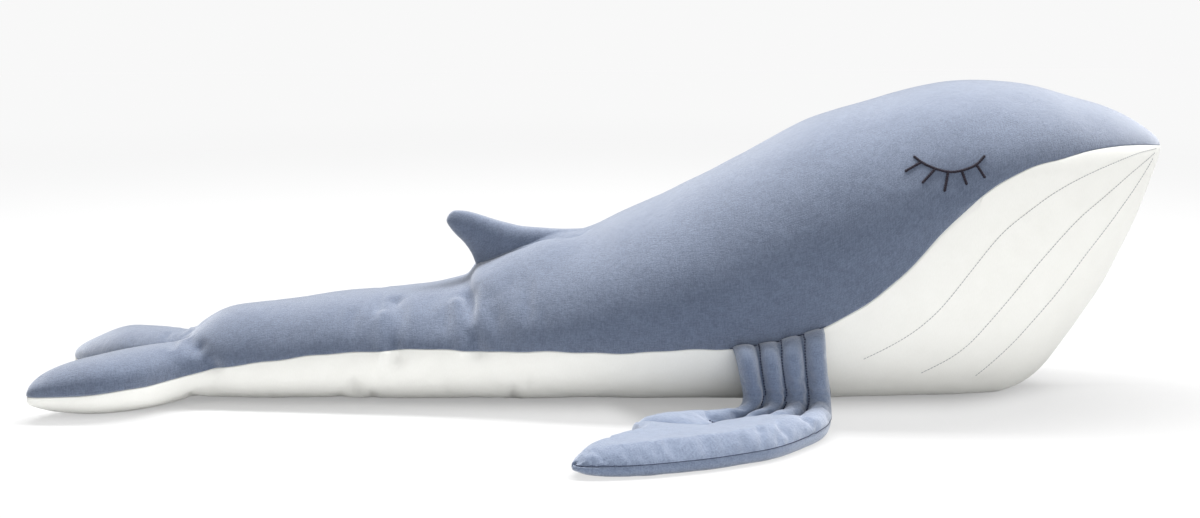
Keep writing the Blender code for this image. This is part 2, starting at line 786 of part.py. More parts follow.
def fold_sheet(side):
    """The quarter turn at the floor, from hanging to lying."""
    sheet, over, under = [], [], []
    centre_y = FLIPPER_HANG_Y + FLIPPER_FOLD_RADIUS
    centre_z = sheet_height() + FLIPPER_FOLD_RADIUS
    for i in range(FOLD_COLUMNS):
        turn = math.pi / 2 * (1 - i / (FOLD_COLUMNS - 1))
        out = centre_y - FLIPPER_FOLD_RADIUS * math.sin(turn)
        z = centre_z - FLIPPER_FOLD_RADIUS * math.cos(turn)
        normal = np.array((0.0, side * math.sin(turn), math.cos(turn)))
        for across in across_shares():
            x = FLIPPER_BACK_X + FLIPPER_LOW_SHIFT + (FLIPPER_FRONT_X - FLIPPER_BACK_X) * across
            sheet.append((np.array((x, side * out, z)), normal))
        above, below = finger_heights(1.0)
        over += above
        under += below
    return sheet, over, under


def blade_sheet(side):
    """The stretch on the floor: it sweeps back and out, and its trailing edge has a notch."""
    sheet, over, under = [], [], []
    corner = FLIPPER_FRONT_X + FLIPPER_LOW_SHIFT
    start = FLIPPER_HANG_Y + FLIPPER_FOLD_RADIUS + GAP
    for lead_x, lead_y, trail_x, trail_y, thickness in BLADE_SHARES:
        lead = np.array((corner - lead_x * BLADE_LENGTH, start + lead_y * BLADE_REACH))
        trail = np.array((corner - trail_x * BLADE_LENGTH, start + trail_y * BLADE_REACH))
        for across in across_shares():
            x, out = trail + (lead - trail) * across
            sheet.append((np.array((x, side * out, sheet_height())), np.array((0.0, 0.0, 1.0))))
        above, below = finger_heights(thickness)
        over += above
        under += below
    return sheet, over, under


def flipper(label, side, root_pivot, fold_pivot):
    """A flipper in three stretches: hanging, folding and lying on the floor."""
    stretches = (
        ("arm", arm_sheet, root_pivot),
        ("fold", fold_sheet, root_pivot),
        ("blade", blade_sheet, fold_pivot),
    )
    rows = len(across_shares())
    for stretch, shape, pivot in stretches:
        sheet, over, under = shape(side)
        prefix = f"flipper_{label}_{stretch}"
        names = (f"{prefix}_upper_panel", f"{prefix}_lower_panel", f"{prefix}_stuffing")
        pad(names, sheet, rows, over, under, (PALE_BLUE, PALE_BLUE), pivot, side > 0)


def main():
    clear_scene()
    body = pivot_at("body_frame", (0, 0, 0))
    waist = pivot_at("tail_swing_hinge", (SWING_X, 0, 0))
    tail = pivot_at("tail_lift_hinge", (LIFT_X, 0, lift_height(LIFT_X)))
    fluke = pivot_at("fluke_flap_hinge", (FLAP_X, 0, lift_height(FLAP_X)))
    body_stretch("torso_", WAIST_FRONT + GAP, LENGTH / 2, TORSO_COLUMNS, body, nose=True)
    body_stretch("waist_", WAIST_BACK, WAIST_FRONT, WAIST_COLUMNS, waist, WAIST_LIFT)
    body_stretch("tail_", CREASE_FRONT, WAIST_BACK - GAP, TAIL_COLUMNS, tail)
    body_stretch("crease_", CREASE_BACK, CREASE_FRONT - GAP, CREASE_COLUMNS, tail, WAIST_LIFT)
    flukes(fluke)
    dorsal_fin(pivot_at("fin_flop_hinge", fin_axis()[0]))
    for label, side in SIDES.items():
        eye(label, side, bpy.data.objects[f"torso_side_panel_{label}"], body)
        root = pivot_at(f"flipper_{label}_swing_hinge", swing_place(side))
        fold_place = (FLIPPER_FRONT_X, side * FLIPPER_HANG_Y, sheet_height())
        flipper(label, side, root, pivot_at(f"flipper_{label}_fold_hinge", fold_place))


main()
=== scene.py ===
"""Looks of a plush whale: brushed blue and smooth white cloth over filling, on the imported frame.

Metres, +Z up, snout at +X, the whale's left at +Y, lying on Z = 0.
"""
import math

import bpy
import numpy as np
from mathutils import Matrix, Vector, noise
from mathutils.bvhtree import BVHTree

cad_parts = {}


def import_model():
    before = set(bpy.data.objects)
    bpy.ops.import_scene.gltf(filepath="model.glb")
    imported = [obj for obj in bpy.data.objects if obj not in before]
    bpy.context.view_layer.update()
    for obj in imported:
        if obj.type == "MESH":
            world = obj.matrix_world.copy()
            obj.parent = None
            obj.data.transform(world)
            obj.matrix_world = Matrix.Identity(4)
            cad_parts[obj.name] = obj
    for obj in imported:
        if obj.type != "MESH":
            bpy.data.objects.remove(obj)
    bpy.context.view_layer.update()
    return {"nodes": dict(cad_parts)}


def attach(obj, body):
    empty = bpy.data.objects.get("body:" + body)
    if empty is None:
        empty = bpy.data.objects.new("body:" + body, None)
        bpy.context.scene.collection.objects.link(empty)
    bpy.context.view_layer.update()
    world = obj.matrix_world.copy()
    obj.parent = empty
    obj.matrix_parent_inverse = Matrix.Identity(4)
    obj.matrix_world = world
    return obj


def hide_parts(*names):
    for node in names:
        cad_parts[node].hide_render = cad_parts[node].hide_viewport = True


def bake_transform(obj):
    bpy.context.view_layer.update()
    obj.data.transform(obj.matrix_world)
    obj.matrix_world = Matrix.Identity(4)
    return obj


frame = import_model()

# Driving sizes, as in the frame
LENGTH = 1.012
HEIGHT = 0.286
HALF_WIDTH = 0.115
FLOOR_GAP = 0.0003
SIDES = {"left": 1, "right": -1}

# Where the skin is divided between its bends, and where each bend starts and ends, along X
WAIST_START = -0.098
WAIST_SPLIT = -0.168
WAIST_END = -0.238
TAIL_SPLIT = -0.300
CREASE_START = -0.334
CREASE_END = -0.376
FLUKE_FRONT = -0.370

# Body stations: length behind the snout, back, half width, seam and keel as shares of the sizes
# above, the fullness of the section under its widest point, and that point's share of the height
BODY_SHARES = (
    (0.8794, 0.217, 0.360, 0.094, 0.014, 2.20, 0.46),
    (0.8656, 0.237, 0.378, 0.101, 0.006, 2.20, 0.46),
    (0.8340, 0.287, 0.409, 0.129, 0.003, 2.20, 0.46),
    (0.7905, 0.307, 0.452, 0.156, 0.000, 2.20, 0.46),
    (0.7312, 0.333, 0.526, 0.182, 0.000, 2.20, 0.47),
    (0.6719, 0.347, 0.600, 0.200, 0.000, 2.20, 0.48),
    (0.6225, 0.379, 0.670, 0.198, 0.000, 2.25, 0.48),
    (0.5731, 0.444, 0.757, 0.204, 0.000, 2.30, 0.47),
    (0.5138, 0.528, 0.843, 0.204, 0.000, 2.30, 0.46),
    (0.4835, 0.577, 0.880, 0.206, 0.000, 2.34, 0.46),
    (0.4447, 0.638, 0.922, 0.213, 0.000, 2.40, 0.46),
    (0.3755, 0.764, 0.970, 0.229, 0.000, 2.60, 0.47),
    (0.3162, 0.876, 0.991, 0.287, 0.000, 2.80, 0.51),
    (0.2569, 0.938, 1.000, 0.428, 0.000, 2.90, 0.58),
    (0.2174, 0.976, 0.996, 0.576, 0.000, 2.90, 0.64),
    (0.1828, 0.993, 0.978, 0.693, 0.000, 2.90, 0.69),
    (0.1482, 0.993, 0.930, 0.761, 0.000, 2.80, 0.73),
    (0.1136, 0.979, 0.857, 0.792, 0.052, 2.60, 0.74),
    (0.0840, 0.950, 0.765, 0.813, 0.182, 2.45, 0.74),
    (0.0543, 0.920, 0.635, 0.819, 0.337, 2.30, 0.73),
    (0.0316, 0.885, 0.500, 0.815, 0.497, 2.20, 0.70),
    (0.0148, 0.849, 0.357, 0.806, 0.652, 2.10, 0.66),
    (0.0049, 0.822, 0.204, 0.798, 0.736, 2.00, 0.60),
    (0.0008, 0.802, 0.078, 0.792, 0.778, 2.00, 0.52),
    (0.0000, 0.790, 0.000, 0.790, 0.790, 2.00, 0.50),
)
# the seam's waver: height, rate and start of each wave, and where behind the snout it sets in
SEAM_WAVES = ((0.0006, 61, 0), (0.0004, 149, 1))
SEAM_WAVES_FROM_SHARES = (0.05, 0.2)

# Fluke lobes: along the length; inner edge, outer edge of the half span; place of the crown across;
# seam, top and bottom of the height; how far the lobes are one at the middle. The far lobe sags:
# its share shorter and lower, and where along it that sets in
FLUKE_LENGTH = 0.136
FLUKE_HALF_SPAN = 0.092
FLUKE_HEIGHT = 0.068
FLUKE_LEAST_BOTTOM_SHARE = 0.004
FLUKE_TOP_POWER = 0.66
FLUKE_FAR_SHORTER, FLUKE_SHORTER_FROM = 0.050, (0.1, 1.0)
FLUKE_FAR_LOWER, FLUKE_LOWER_FROM = 0.19, (0.5, 0.95)
FLUKE_SHARES = (
    (0.00, 0.000, 0.472, 0.000, 0.44, 1.00, 0.045, 1.00),
    (0.05, 0.000, 0.540, 0.160, 0.43, 0.86, 0.040, 0.60),
    (0.10, 0.000, 0.605, 0.290, 0.42, 0.80, 0.032, 0.20),
    (0.17, 0.000, 0.700, 0.370, 0.40, 0.79, 0.020, 0.00),
    (0.25, 0.030, 0.800, 0.410, 0.39, 0.80, 0.010, 0.00),
    (0.36, 0.100, 0.900, 0.440, 0.39, 0.79, 0.000, 0.00),
    (0.49, 0.190, 0.970, 0.480, 0.37, 0.77, 0.000, 0.00),
    (0.62, 0.290, 1.000, 0.500, 0.35, 0.74, 0.020, 0.00),
    (0.74, 0.400, 1.000, 0.500, 0.34, 0.69, 0.050, 0.00),
    (0.85, 0.520, 0.995, 0.500, 0.335, 0.62, 0.090, 0.00),
    (0.93, 0.640, 0.985, 0.500, 0.33, 0.54, 0.140, 0.00),
    (0.98, 0.755, 0.965, 0.500, 0.33, 0.46, 0.190, 0.00),
    (1.00, 0.840, 0.935, 0.500, 0.33, 0.39, 0.240, 0.00),
    (1.01, 0.888, 0.888, 0.500, 0.33, 0.33, 0.330, 0.00),
)

# Mesh spacing: the step along a line that counts so much by the side and the rest by the back, and
# along this line of a lobe; how finely lines are searched; how the cloth turns in along a seam
COLUMN_STEP = 0.0038
SPACED_BY_SIDE, LOBE_LINE = 0.4, 0.4
EDGE_ROWS = (0.0, 0.003, 0.008, 0.016, 0.027, 0.042)
PANEL_ROWS = 40
WELD = 2e-6
LINE_SAMPLES = 2000
BODY_SAMPLES = 4000
SEAM_SAMPLES = 60
SEAM_ROUND = 0.0010
SEAM_PINCH = 0.0009
SEAM_PINCH_REACH = 0.009
# columns and rounds over which the body's skin runs into the flukes'
JOIN_REACH, JOIN_ROUNDS = 7, 30

# Cloth simulation: how much larger it is worked, frames, the farthest a point may move, and the
# rounds that find the wide swell. For a panel: every how many columns and rows take part, the
# pressure, the cloth's growth and the share of the wide swell that is kept
SIM_SCALE = 10.0
SIM_FRAMES = 20
SIM_REACH = 0.004
SIM_WIDE_ROUNDS = 20
BODY_SWELL = {"steps": (2, 2), "pressure": 3.0, "growth": 0.012, "kept": 0.0}
FLIPPER_SWELL = {"steps": (1, 2), "pressure": 6.0, "growth": 0.032, "kept": 0.8}
# the body's wrinkles fade towards its seams, and ahead of the waist to what is left of them there
WRINKLES_OFF_SEAM = (0.002, 0.040)
WRINKLES_AHEAD = (-0.085, -0.020)
WRINKLES_LOST_AHEAD = 0.85

# Stitches: pitch, length and width; and how far aside a line that looks for the cloth starts
SEAM_STITCH = (0.0016, 0.0021, 0.0007)
CHANNEL_STITCH = (0.0024, 0.0019, 0.0012)
EYE_STITCH = (0.0019, 0.0032, 0.0025)
THROAT_STITCH = (0.0030, 0.0028, 0.00062)
ASIDE = 0.3


# Tables and grids


def smooth(share):
    """From 0 to 1, level at both ends."""
    return share * share * (3 - 2 * share)


def ease(low, high, value):
    """0 below low, 1 above high, smooth between."""
    return smooth(np.clip((np.asarray(value, float) - low) / (high - low), 0, 1))


def row(table, at):
    """Rows of a table at places from 0 to its last station, on a smooth curve through them."""
    table = np.asarray(table, float)
    at = np.clip(np.asarray(at, float), 0, len(table) - 1)
    low = np.minimum(at.astype(int), len(table) - 2)
    share = (at - low)[..., None]
    before, start = table[np.maximum(low - 1, 0)], table[low]
    end, after = table[low + 1], table[np.minimum(low + 2, len(table) - 1)]
    swing, rest = smooth(share), 1 - share
    out, into = (end - before) / 2, (after - start) / 2
    return start * (1 - swing) + end * swing + out * share * rest**2 - into * share**2 * rest


def even_places(place, low, high, step):
    """Places between low and high, a step apart on the line that place() gives."""
    fine = np.linspace(low, high, LINE_SAMPLES)
    run = np.r_[0, np.cumsum(np.linalg.norm(np.diff(place(fine), axis=0), axis=1))]
    return np.interp(np.linspace(0, run[-1], int(run[-1] / step) + 2), run, fine)


def rows_across(edge, count):
    """Shares across a panel, close together along both borders."""
    edge = np.array(edge)
    return np.r_[edge, np.linspace(edge[-1], 1 - edge[-1], count)[1:-1], 1 - edge[::-1]]


def mirrored(points, side):
    """Points of the left side, or their mirror image on the right."""
    return np.asarray(points, float) * (1, side, 1)


def quads_of(columns, rows, flip=False):
    a = (np.arange(columns - 1)[:, None] * rows + np.arange(rows - 1)).ravel()
    quads = np.stack([a, a + rows, a + rows + 1, a + 1], 1)
    return quads[:, ::-1] if flip else quads


def unit(vectors):
    return vectors / np.maximum(np.linalg.norm(vectors, axis=-1, keepdims=True), 1e-12)


def relaxed(points, rounds, weight=1.0):
    """Draws each inner row of a grid half way, times a weight, to the middle of its neighbours."""
    for _ in range(rounds):
        points[1:-1] += weight * 0.5 * ((points[2:] + points[:-2]) / 2 - points[1:-1])
    return points


def even_out(grid, middle, reach, rounds):
    """Relaxes a grid along its length near one column, so that two stretches run together."""
    weight = np.exp(-(((np.arange(len(grid)) - middle) / reach) ** 2))[1:-1, None, None]
    return relaxed(grid, rounds, weight)


def border_distance(grid):
    """How far each point of a grid is from its first and from its last row, on the cloth."""
    across = np.linalg.norm(np.diff(grid, axis=1), axis=2)
    run = np.pad(np.cumsum(across, 1), ((0, 0), (1, 0)))
    return run, run[:, -1:] - run


def kept_corners(face):
    """The corners of a face that are left when it is welded, or none if it closes up."""
    kept = [k for k in range(4) if face[k] != face[k - 1]]
    return kept if len({face[k] for k in kept}) > 2 else []


class Surface:
    """A sewn surface: grids of points welded where they meet, with normals and a cloth map."""

    def __init__(self, *parts):
        """A part: a grid (columns, rows, 3), if it is flipped, and distances from the border."""
        quads, maps, columns, count = [], [], [], 0
        for grid, flip, _ in parts:
            rows = grid.shape[1]
            quads.append(quads_of(len(grid), rows, flip) + count)
            along = np.linalg.norm(np.diff(grid, axis=0), axis=2)
            u = np.r_[0, np.cumsum(np.median(along, axis=1))][:, None].repeat(rows, 1)
            maps.append(np.stack([u, border_distance(grid)[0]], 2).reshape(-1, 2))
            columns.append(np.repeat(np.arange(len(grid) - 1), rows - 1))
            count += len(grid) * rows
        points = np.concatenate([grid.reshape(-1, 3) for grid, _, _ in parts])
        edges = np.concatenate([edge.reshape(-1) for _, _, edge in parts])
        self.loose, self.map, self.column = map(np.concatenate, (quads, maps, columns))
        cells = np.round(points / WELD).astype(np.int64)
        _, first, key = np.unique(cells, axis=0, return_index=True, return_inverse=True)
        self.key = key.reshape(-1)
        self.at, self.edge = points[first], edges[first]
        self.faces = self.key[self.loose]
        self.shade()

    def shade(self):
        """Works out the normals from the faces."""
        normals = np.zeros_like(self.at)
        for corners in ((0, 1, 2), (0, 2, 3)):
            a, b, c = (self.at[self.faces[:, k]] for k in corners)
            face = np.cross(b - a, c - a)
            for k in corners:
                np.add.at(normals, self.faces[:, k], face)
        self.normal = unit(normals)

    def move(self, distance):
        """Moves each point out along its normal."""
        self.at = self.at + self.normal * np.asarray(distance)[:, None]
        self.shade()

    def rest_on_floor(self):
        self.at[:, 2] = np.maximum(self.at[:, 2], FLOOR_GAP)
        self.shade()

    def tree(self):
        """The surface as a tree that finds its nearest point, or where a line meets it."""
        faces = [[face[k] for k in kept_corners(face)] for face in self.faces.tolist()]
        return BVHTree.FromPolygons(self.at.tolist(), [face for face in faces if face])

    def piece(self, name, look, chosen=slice(None)):
        """A mesh object of the chosen faces, which keeps the whole surface's shading."""
        faces, maps = [], []
        for corners, loose in zip(self.faces[chosen].tolist(), self.loose[chosen].tolist()):
            kept = kept_corners(corners)
            if kept:
                faces.append([corners[k] for k in kept])
                maps += [self.map[loose[k]] for k in kept]
        used = np.unique(np.concatenate([np.array(f) for f in faces]))
        place = np.full(len(self.at), -1)
        place[used] = np.arange(len(used))
        mesh = bpy.data.meshes.new(name)
        faces = [[int(place[k]) for k in face] for face in faces]
        mesh.from_pydata(self.at[used].tolist(), [], faces)
        cloth_map = mesh.uv_layers.new(name="cloth")
        cloth_map.data.foreach_set("uv", np.array(maps, np.float32).ravel())
        mesh.shade_smooth()
        mesh.normals_split_custom_set_from_vertices(self.normal[used].tolist())
        return dressed(name, mesh, look)


def placed(name, data):
    """An object in the scene."""
    made = bpy.data.objects.new(name, data)
    bpy.context.scene.collection.objects.link(made)
    return made


def dressed(name, data, look):
    """An object in the scene with one material."""
    made = placed(name, data)
    data.materials.clear()
    data.materials.append(look)
    return made


# Relief: soft unevenness, dimples and ridges of filled cloth


def unevenness(points, *layers):
    """Smooth noise in layers: the height, the size of the features and the seed of each."""
    out = 0
    for height, size, seed in layers:
        shift = Vector((seed * 3.1, seed * 7.7, seed * 1.3))
        out += height * np.array([noise.noise(Vector(p) / size + shift) for p in points.tolist()])
    return out


def dent(points, a, b, width, depth):
    """A dimple (or a ridge, if the depth is negative) along the line from a to b."""
    line = b - a
    share = np.clip((points - a) @ line / (line @ line), 0, 1)[:, None]
    away = np.linalg.norm(points - (a + share * line), axis=1)
    return -depth * np.exp(-((away / width) ** 2))


# The body's skin


def section(at):
    """Columns of x, back, half width, seam, keel, fullness and widest height along the body."""
    behind, back, wide, seam, keel, full, widest = np.moveaxis(row(BODY_SHARES, at), -1, 0)
    back, seam, keel = back * HEIGHT, seam * HEIGHT, np.maximum(keel, 0) * HEIGHT
    waver = sum(high * np.sin(behind * rate + start) for high, rate, start in SEAM_WAVES)
    seam = seam + waver * ease(*SEAM_WAVES_FROM_SHARES, behind)
    x, widest = LENGTH / 2 - behind * LENGTH, keel + widest * (back - keel)
    return x, back, wide * HALF_WIDTH, seam, keel, full, widest


def body_place(x):
    """The place on the stations where the body has this x."""
    fine = np.linspace(0, len(BODY_SHARES) - 1, BODY_SAMPLES)
    return np.interp(x, section(fine)[0], fine)


def seam_turn(at):
    """The angle round the section, from the keel, where blue meets white."""
    _, back, _, seam, keel, full, widest = section(at)
    under = np.clip((widest - seam) / np.maximum(widest - keel, 1e-6), 0, 1) ** (full / 2)
    over = np.clip((seam - widest) / np.maximum(back - widest, 1e-6), 0, 1)
    return np.where(seam < widest, np.arccos(under), np.pi - np.arccos(over))


def skin(at, turn, side):
    """Points of the skin: turn 0 is the keel, half a turn the middle of the back."""
    x, back, wide, _, keel, full, widest = section(at)
    rise, out = -np.cos(turn), np.maximum(np.sin(turn), 0)
    power = np.where(rise < 0, 2 / full, 1.0)
    reach = np.where(rise < 0, widest - keel, back - widest)
    z = widest + np.sign(rise) * reach * np.abs(rise) ** power
    return np.stack(np.broadcast_arrays(x, side * wide * out**power, z), -1)


def lobe(at, share, side, over):
    """Points of a lobe's upper or under cloth: share 0 is the outer seam, 1 the inner edge."""
    stations = np.moveaxis(row(FLUKE_SHARES, at), -1, 0)
    along, inner, outer, peak, seam, top, bottom, joined = stations
    inner, outer, peak = np.maximum(inner, 0), np.maximum(outer, inner), np.clip(peak, 0, 1)
    crown = 1 - peak
    rising = np.clip(share / crown, 0, 1) * np.pi / 2
    falling = np.clip((share - crown) / np.maximum(peak, 1e-6), 0, 1) * np.pi / 2
    inside = share > crown
    across = np.where(inside, peak * (1 - np.sin(falling)), peak + (1 - peak) * np.cos(rising))
    joined = np.clip(joined, 0, 1)
    full = np.where(inside, joined + (1 - joined) * np.cos(falling), np.sin(rising))
    full = full ** (FLUKE_TOP_POWER if over else 1.0)
    reach = (top if over else np.maximum(bottom, FLUKE_LEAST_BOTTOM_SHARE)) - seam
    y = (inner + (outer - inner) * across) * FLUKE_HALF_SPAN
    lower = 1 - FLUKE_FAR_LOWER * ease(*FLUKE_LOWER_FROM, along) * (side > 0)
    shorter = 1 - FLUKE_FAR_SHORTER * ease(*FLUKE_SHORTER_FROM, along) * (side > 0)
    x = FLUKE_FRONT - along * (FLUKE_LENGTH * shorter)
    z = (seam + reach * full) * FLUKE_HEIGHT * lower
    return np.stack(np.broadcast_arrays(x, side * y, z), -1)


body_at = even_places(
    lambda at: skin(at, np.pi / 2, 1) * SPACED_BY_SIDE + skin(at, np.pi, 1) * (1 - SPACED_BY_SIDE),
    body_place(FLUKE_FRONT), len(BODY_SHARES) - 1, COLUMN_STEP)
lobe_at = even_places(
    lambda at: lobe(at, LOBE_LINE, 1, True), 0, len(FLUKE_SHARES) - 1, COLUMN_STEP)[:0:-1]
SHARES = rows_across(EDGE_ROWS, PANEL_ROWS)
JOIN_COLUMN = len(lobe_at)


def body_grid(side, over):
    """Blue (over) or white half of the skin, from a fluke's tip to the snout, seam to middle."""
    at = body_at[:, None]
    seam = seam_turn(at)
    turn = seam + (np.pi - seam) * SHARES if over else seam * (1 - SHARES)
    grid = np.concatenate([lobe(lobe_at[:, None], SHARES, side, over), skin(at, turn, side)])
    return even_out(grid, JOIN_COLUMN, JOIN_REACH, JOIN_ROUNDS)


# Where the back rises to the fin's seam: behind and ahead of the fin, height, the flat top's half
# width, and reach to the sides
FIN_MOUND_BEHIND = (-0.128, -0.108)
FIN_MOUND_AHEAD = (-0.058, -0.008)
FIN_MOUND_HEIGHT = 0.0098
FIN_MOUND_TOP = 0.012
FIN_MOUND_REACH = 0.034

# Creases and dimples of the cloth: start, end, width, depth (negative stands out), on both sides
BODY_DENTS = (
    ((-0.187, 0.030, 0.094), (-0.187, 0.070, 0.050), 0.0066, 0.0046),
    ((-0.1985, 0.044, 0.082), (-0.1985, 0.070, 0.046), 0.0050, -0.0026),
    ((-0.132, 0.046, 0.094), (-0.127, 0.074, 0.058), 0.0052, -0.0034),
    ((-0.1215, 0.044, 0.100), (-0.114, 0.078, 0.058), 0.0080, 0.0042),
    ((-0.1000, 0.060, 0.100), (-0.092, 0.082, 0.070), 0.0100, 0.0022),
    ((-0.151, 0.040, 0.094), (-0.150, 0.060, 0.080), 0.0120, 0.0012),
    ((-0.101, 0.040, 0.112), (-0.093, 0.060, 0.104), 0.0100, -0.0014),
    ((-0.186, 0.070, 0.048), (-0.186, 0.072, 0.020), 0.0060, 0.0014),
    ((-0.160, 0.075, 0.040), (-0.160, 0.076, 0.012), 0.0070, 0.0012),
    ((-0.380, 0.010, 0.060), (-0.362, 0.036, 0.052), 0.0065, 0.0028),
    ((-0.362, 0.036, 0.052), (-0.350, 0.046, 0.038), 0.0065, 0.0034),
    ((-0.350, 0.046, 0.038), (-0.347, 0.047, 0.028), 0.0060, 0.0014),
    ((-0.346, 0.018, 0.068), (-0.334, 0.044, 0.046), 0.0110, -0.0012),
    ((-0.0780, 0.056, 0.112), (-0.0640, 0.072, 0.090), 0.0120, 0.0012),
)
# the unevenness in layers, and how far behind the snout the relief sets in
BODY_UNEVENNESS = ((0.0010, 0.075, 1), (0.0005, 0.028, 2))
RELIEF_FROM = (0.005, 0.05)
# the back's middle seam: how many times farther it counts than it is, and how much it is off
MIDDLE_SEAM_TIMES, MIDDLE_SEAM_OFF = 3, 0.0120


def fin_mound(x, y):
    """How far the back is drawn up round the fin's seam."""
    along = ease(*FIN_MOUND_BEHIND, x) * (1 - ease(*FIN_MOUND_AHEAD, x))
    aside = np.maximum(np.abs(y) - FIN_MOUND_TOP, 0) / FIN_MOUND_REACH
    return FIN_MOUND_HEIGHT * along * np.exp(-(aside**2))


def body_relief(surface, white):
    """How far the filled skin stands out or in at each point."""
    points, edge = surface.at, surface.edge
    calm = ease(*RELIEF_FROM, LENGTH / 2 - points[:, 0])
    out = unevenness(points, *BODY_UNEVENNESS)
    for side in SIDES.values():
        for a, b, width, depth in BODY_DENTS:
            out += dent(points, mirrored(a, side), mirrored(b, side), width, depth)
    out *= calm
    if not white:
        out += fin_mound(points[:, 0], points[:, 1])
    turned = np.clip(1 - edge / SEAM_ROUND, 0, 1)
    out -= SEAM_ROUND * (1 - np.sqrt(1 - turned**2))
    out -= SEAM_PINCH * np.exp(-edge / SEAM_PINCH_REACH) * calm
    return out


def held_borders(grid):
    """Which points of a panel its seams hold."""
    held = np.zeros(grid.shape[:2])
    held[:, (0, -1)] = held[(0, -1), :] = 1
    return held


def swelled(grid, flip, held, steps, pressure, growth, kept):
    """How far a panel moves when it is blown up as cloth held at its seams.

    The first and last columns are left out, because a panel can run to a point there.
    """
    grid, held = grid[1:-1], held[1:-1].copy()
    held[(0, -1), :] = 1
    picked = [np.unique(np.r_[np.arange(0, count, step), count - 1])
              for count, step in zip(grid.shape, steps)]
    coarse = grid[np.ix_(*picked)]
    mesh = bpy.data.meshes.new("panel")
    quads = quads_of(*coarse.shape[:2], flip).tolist()
    mesh.from_pydata((coarse.reshape(-1, 3) * SIM_SCALE).tolist(), [], quads)
    panel = placed("panel", mesh)
    seams = panel.vertex_groups.new(name="seams")
    for index, weight in enumerate(held[np.ix_(*picked)].ravel().tolist()):
        seams.add([index], weight, "REPLACE")
    cloth = panel.modifiers.new("cloth", "CLOTH")
    cloth.settings.vertex_group_mass = "seams"
    cloth.settings.use_pressure = True
    cloth.settings.uniform_pressure_force = pressure
    cloth.settings.shrink_min = -growth
    cloth.settings.effector_weights.gravity = 0
    cloth.point_cache.frame_start, cloth.point_cache.frame_end = 1, SIM_FRAMES
    for moment in range(1, SIM_FRAMES + 1):
        bpy.context.scene.frame_set(moment)
    blown = panel.evaluated_get(bpy.context.evaluated_depsgraph_get()).to_mesh()
    at = np.empty(coarse.size, np.float32)
    blown.vertices.foreach_get("co", at)
    bpy.data.objects.remove(panel)
    bpy.context.scene.frame_set(1)
    moved = at.reshape(coarse.shape).astype(float) / SIM_SCALE - coarse
    wide = moved.copy()
    for _ in range(SIM_WIDE_ROUNDS):
        relaxed(wide, 1)
        relaxed(wide.swapaxes(0, 1), 1)
    moved -= (1 - kept) * wide
    length = np.linalg.norm(moved, axis=2, keepdims=True)
    moved *= np.minimum(1, SIM_REACH / np.maximum(length, 1e-9))
    for axis, (places, count) in enumerate(zip(picked, grid.shape)):
        at = np.interp(np.arange(count), places, np.arange(len(places)))
        low = np.minimum(at.astype(int), len(places) - 2)
        share = smooth((at - low).reshape((-1, 1, 1) if axis == 0 else (1, -1, 1)))
        moved = np.take(moved, low, axis) * (1 - share) + np.take(moved, low + 1, axis) * share
    return np.pad(moved, [(1, 1), (0, 0), (0, 0)])


def body_surfaces():
    """The three panels: left blue, right blue, and the white one with both its halves."""
    swells = {}
    for over in (True, False):
        grid = body_grid(1, over)
        calm = ease(*WRINKLES_OFF_SEAM, np.minimum(*border_distance(grid)))
        calm = calm * (1 - WRINKLES_LOST_AHEAD * ease(*WRINKLES_AHEAD, grid[..., 0]))
        swells[over] = calm[..., None] * swelled(grid, over, held_borders(grid), **BODY_SWELL)
    made, white = {}, []
    for label, side in SIDES.items():
        for over in (True, False):
            grid = body_grid(side, over) + mirrored(swells[over], side)
            low, high = border_distance(grid)
            in_lobe = (np.arange(len(grid)) < JOIN_COLUMN)[:, None]
            lobes_apart = in_lobe & (np.abs(grid[:, -1:, 1]) > 1e-5)
            if over:
                middle = np.where(lobes_apart, high, high * MIDDLE_SEAM_TIMES + MIDDLE_SEAM_OFF)
                made[label] = Surface((grid, side > 0, np.minimum(low, middle)))
            else:
                edge = np.where(lobes_apart, np.minimum(low, high), low)
                white.append((grid, side < 0, edge))
    made["white"] = Surface(*white)
    for name, surface in made.items():
        surface.move(body_relief(surface, name == "white"))
        surface.rest_on_floor()
    return made


# Nodes and shader maths


class Value:
    """A node's socket, which takes part in sums and is linked where it is used."""

    def __init__(self, nodes, socket):
        self.nodes, self.socket = nodes, socket

    def sum(self, operation, other, turned=False):
        first, second = (other, self) if turned else (self, other)
        return self.nodes.node("ShaderNodeMath", {"operation": operation}, {0: first, 1: second})

    def __add__(self, other):
        return self.sum("ADD", other)

    def __sub__(self, other):
        return self.sum("SUBTRACT", other)

    def __rsub__(self, other):
        return self.sum("SUBTRACT", other, True)

    def __mul__(self, other):
        return self.sum("MULTIPLY", other)

    __radd__, __rmul__ = __add__, __mul__


class Nodes:
    """The nodes of one tree."""

    def __init__(self, tree):
        self.tree = tree

    def node(self, kind, settings, sockets, output=0):
        made = self.tree.nodes.new(kind)
        for name, value in settings.items():
            setattr(made, name, value)
        self.join(made, sockets)
        return Value(self, made.outputs[output])

    def join(self, made, sockets):
        for key, value in sockets.items():
            if isinstance(value, Value):
                self.tree.links.new(value.socket, made.inputs[key])
            else:
                made.inputs[key].default_value = value


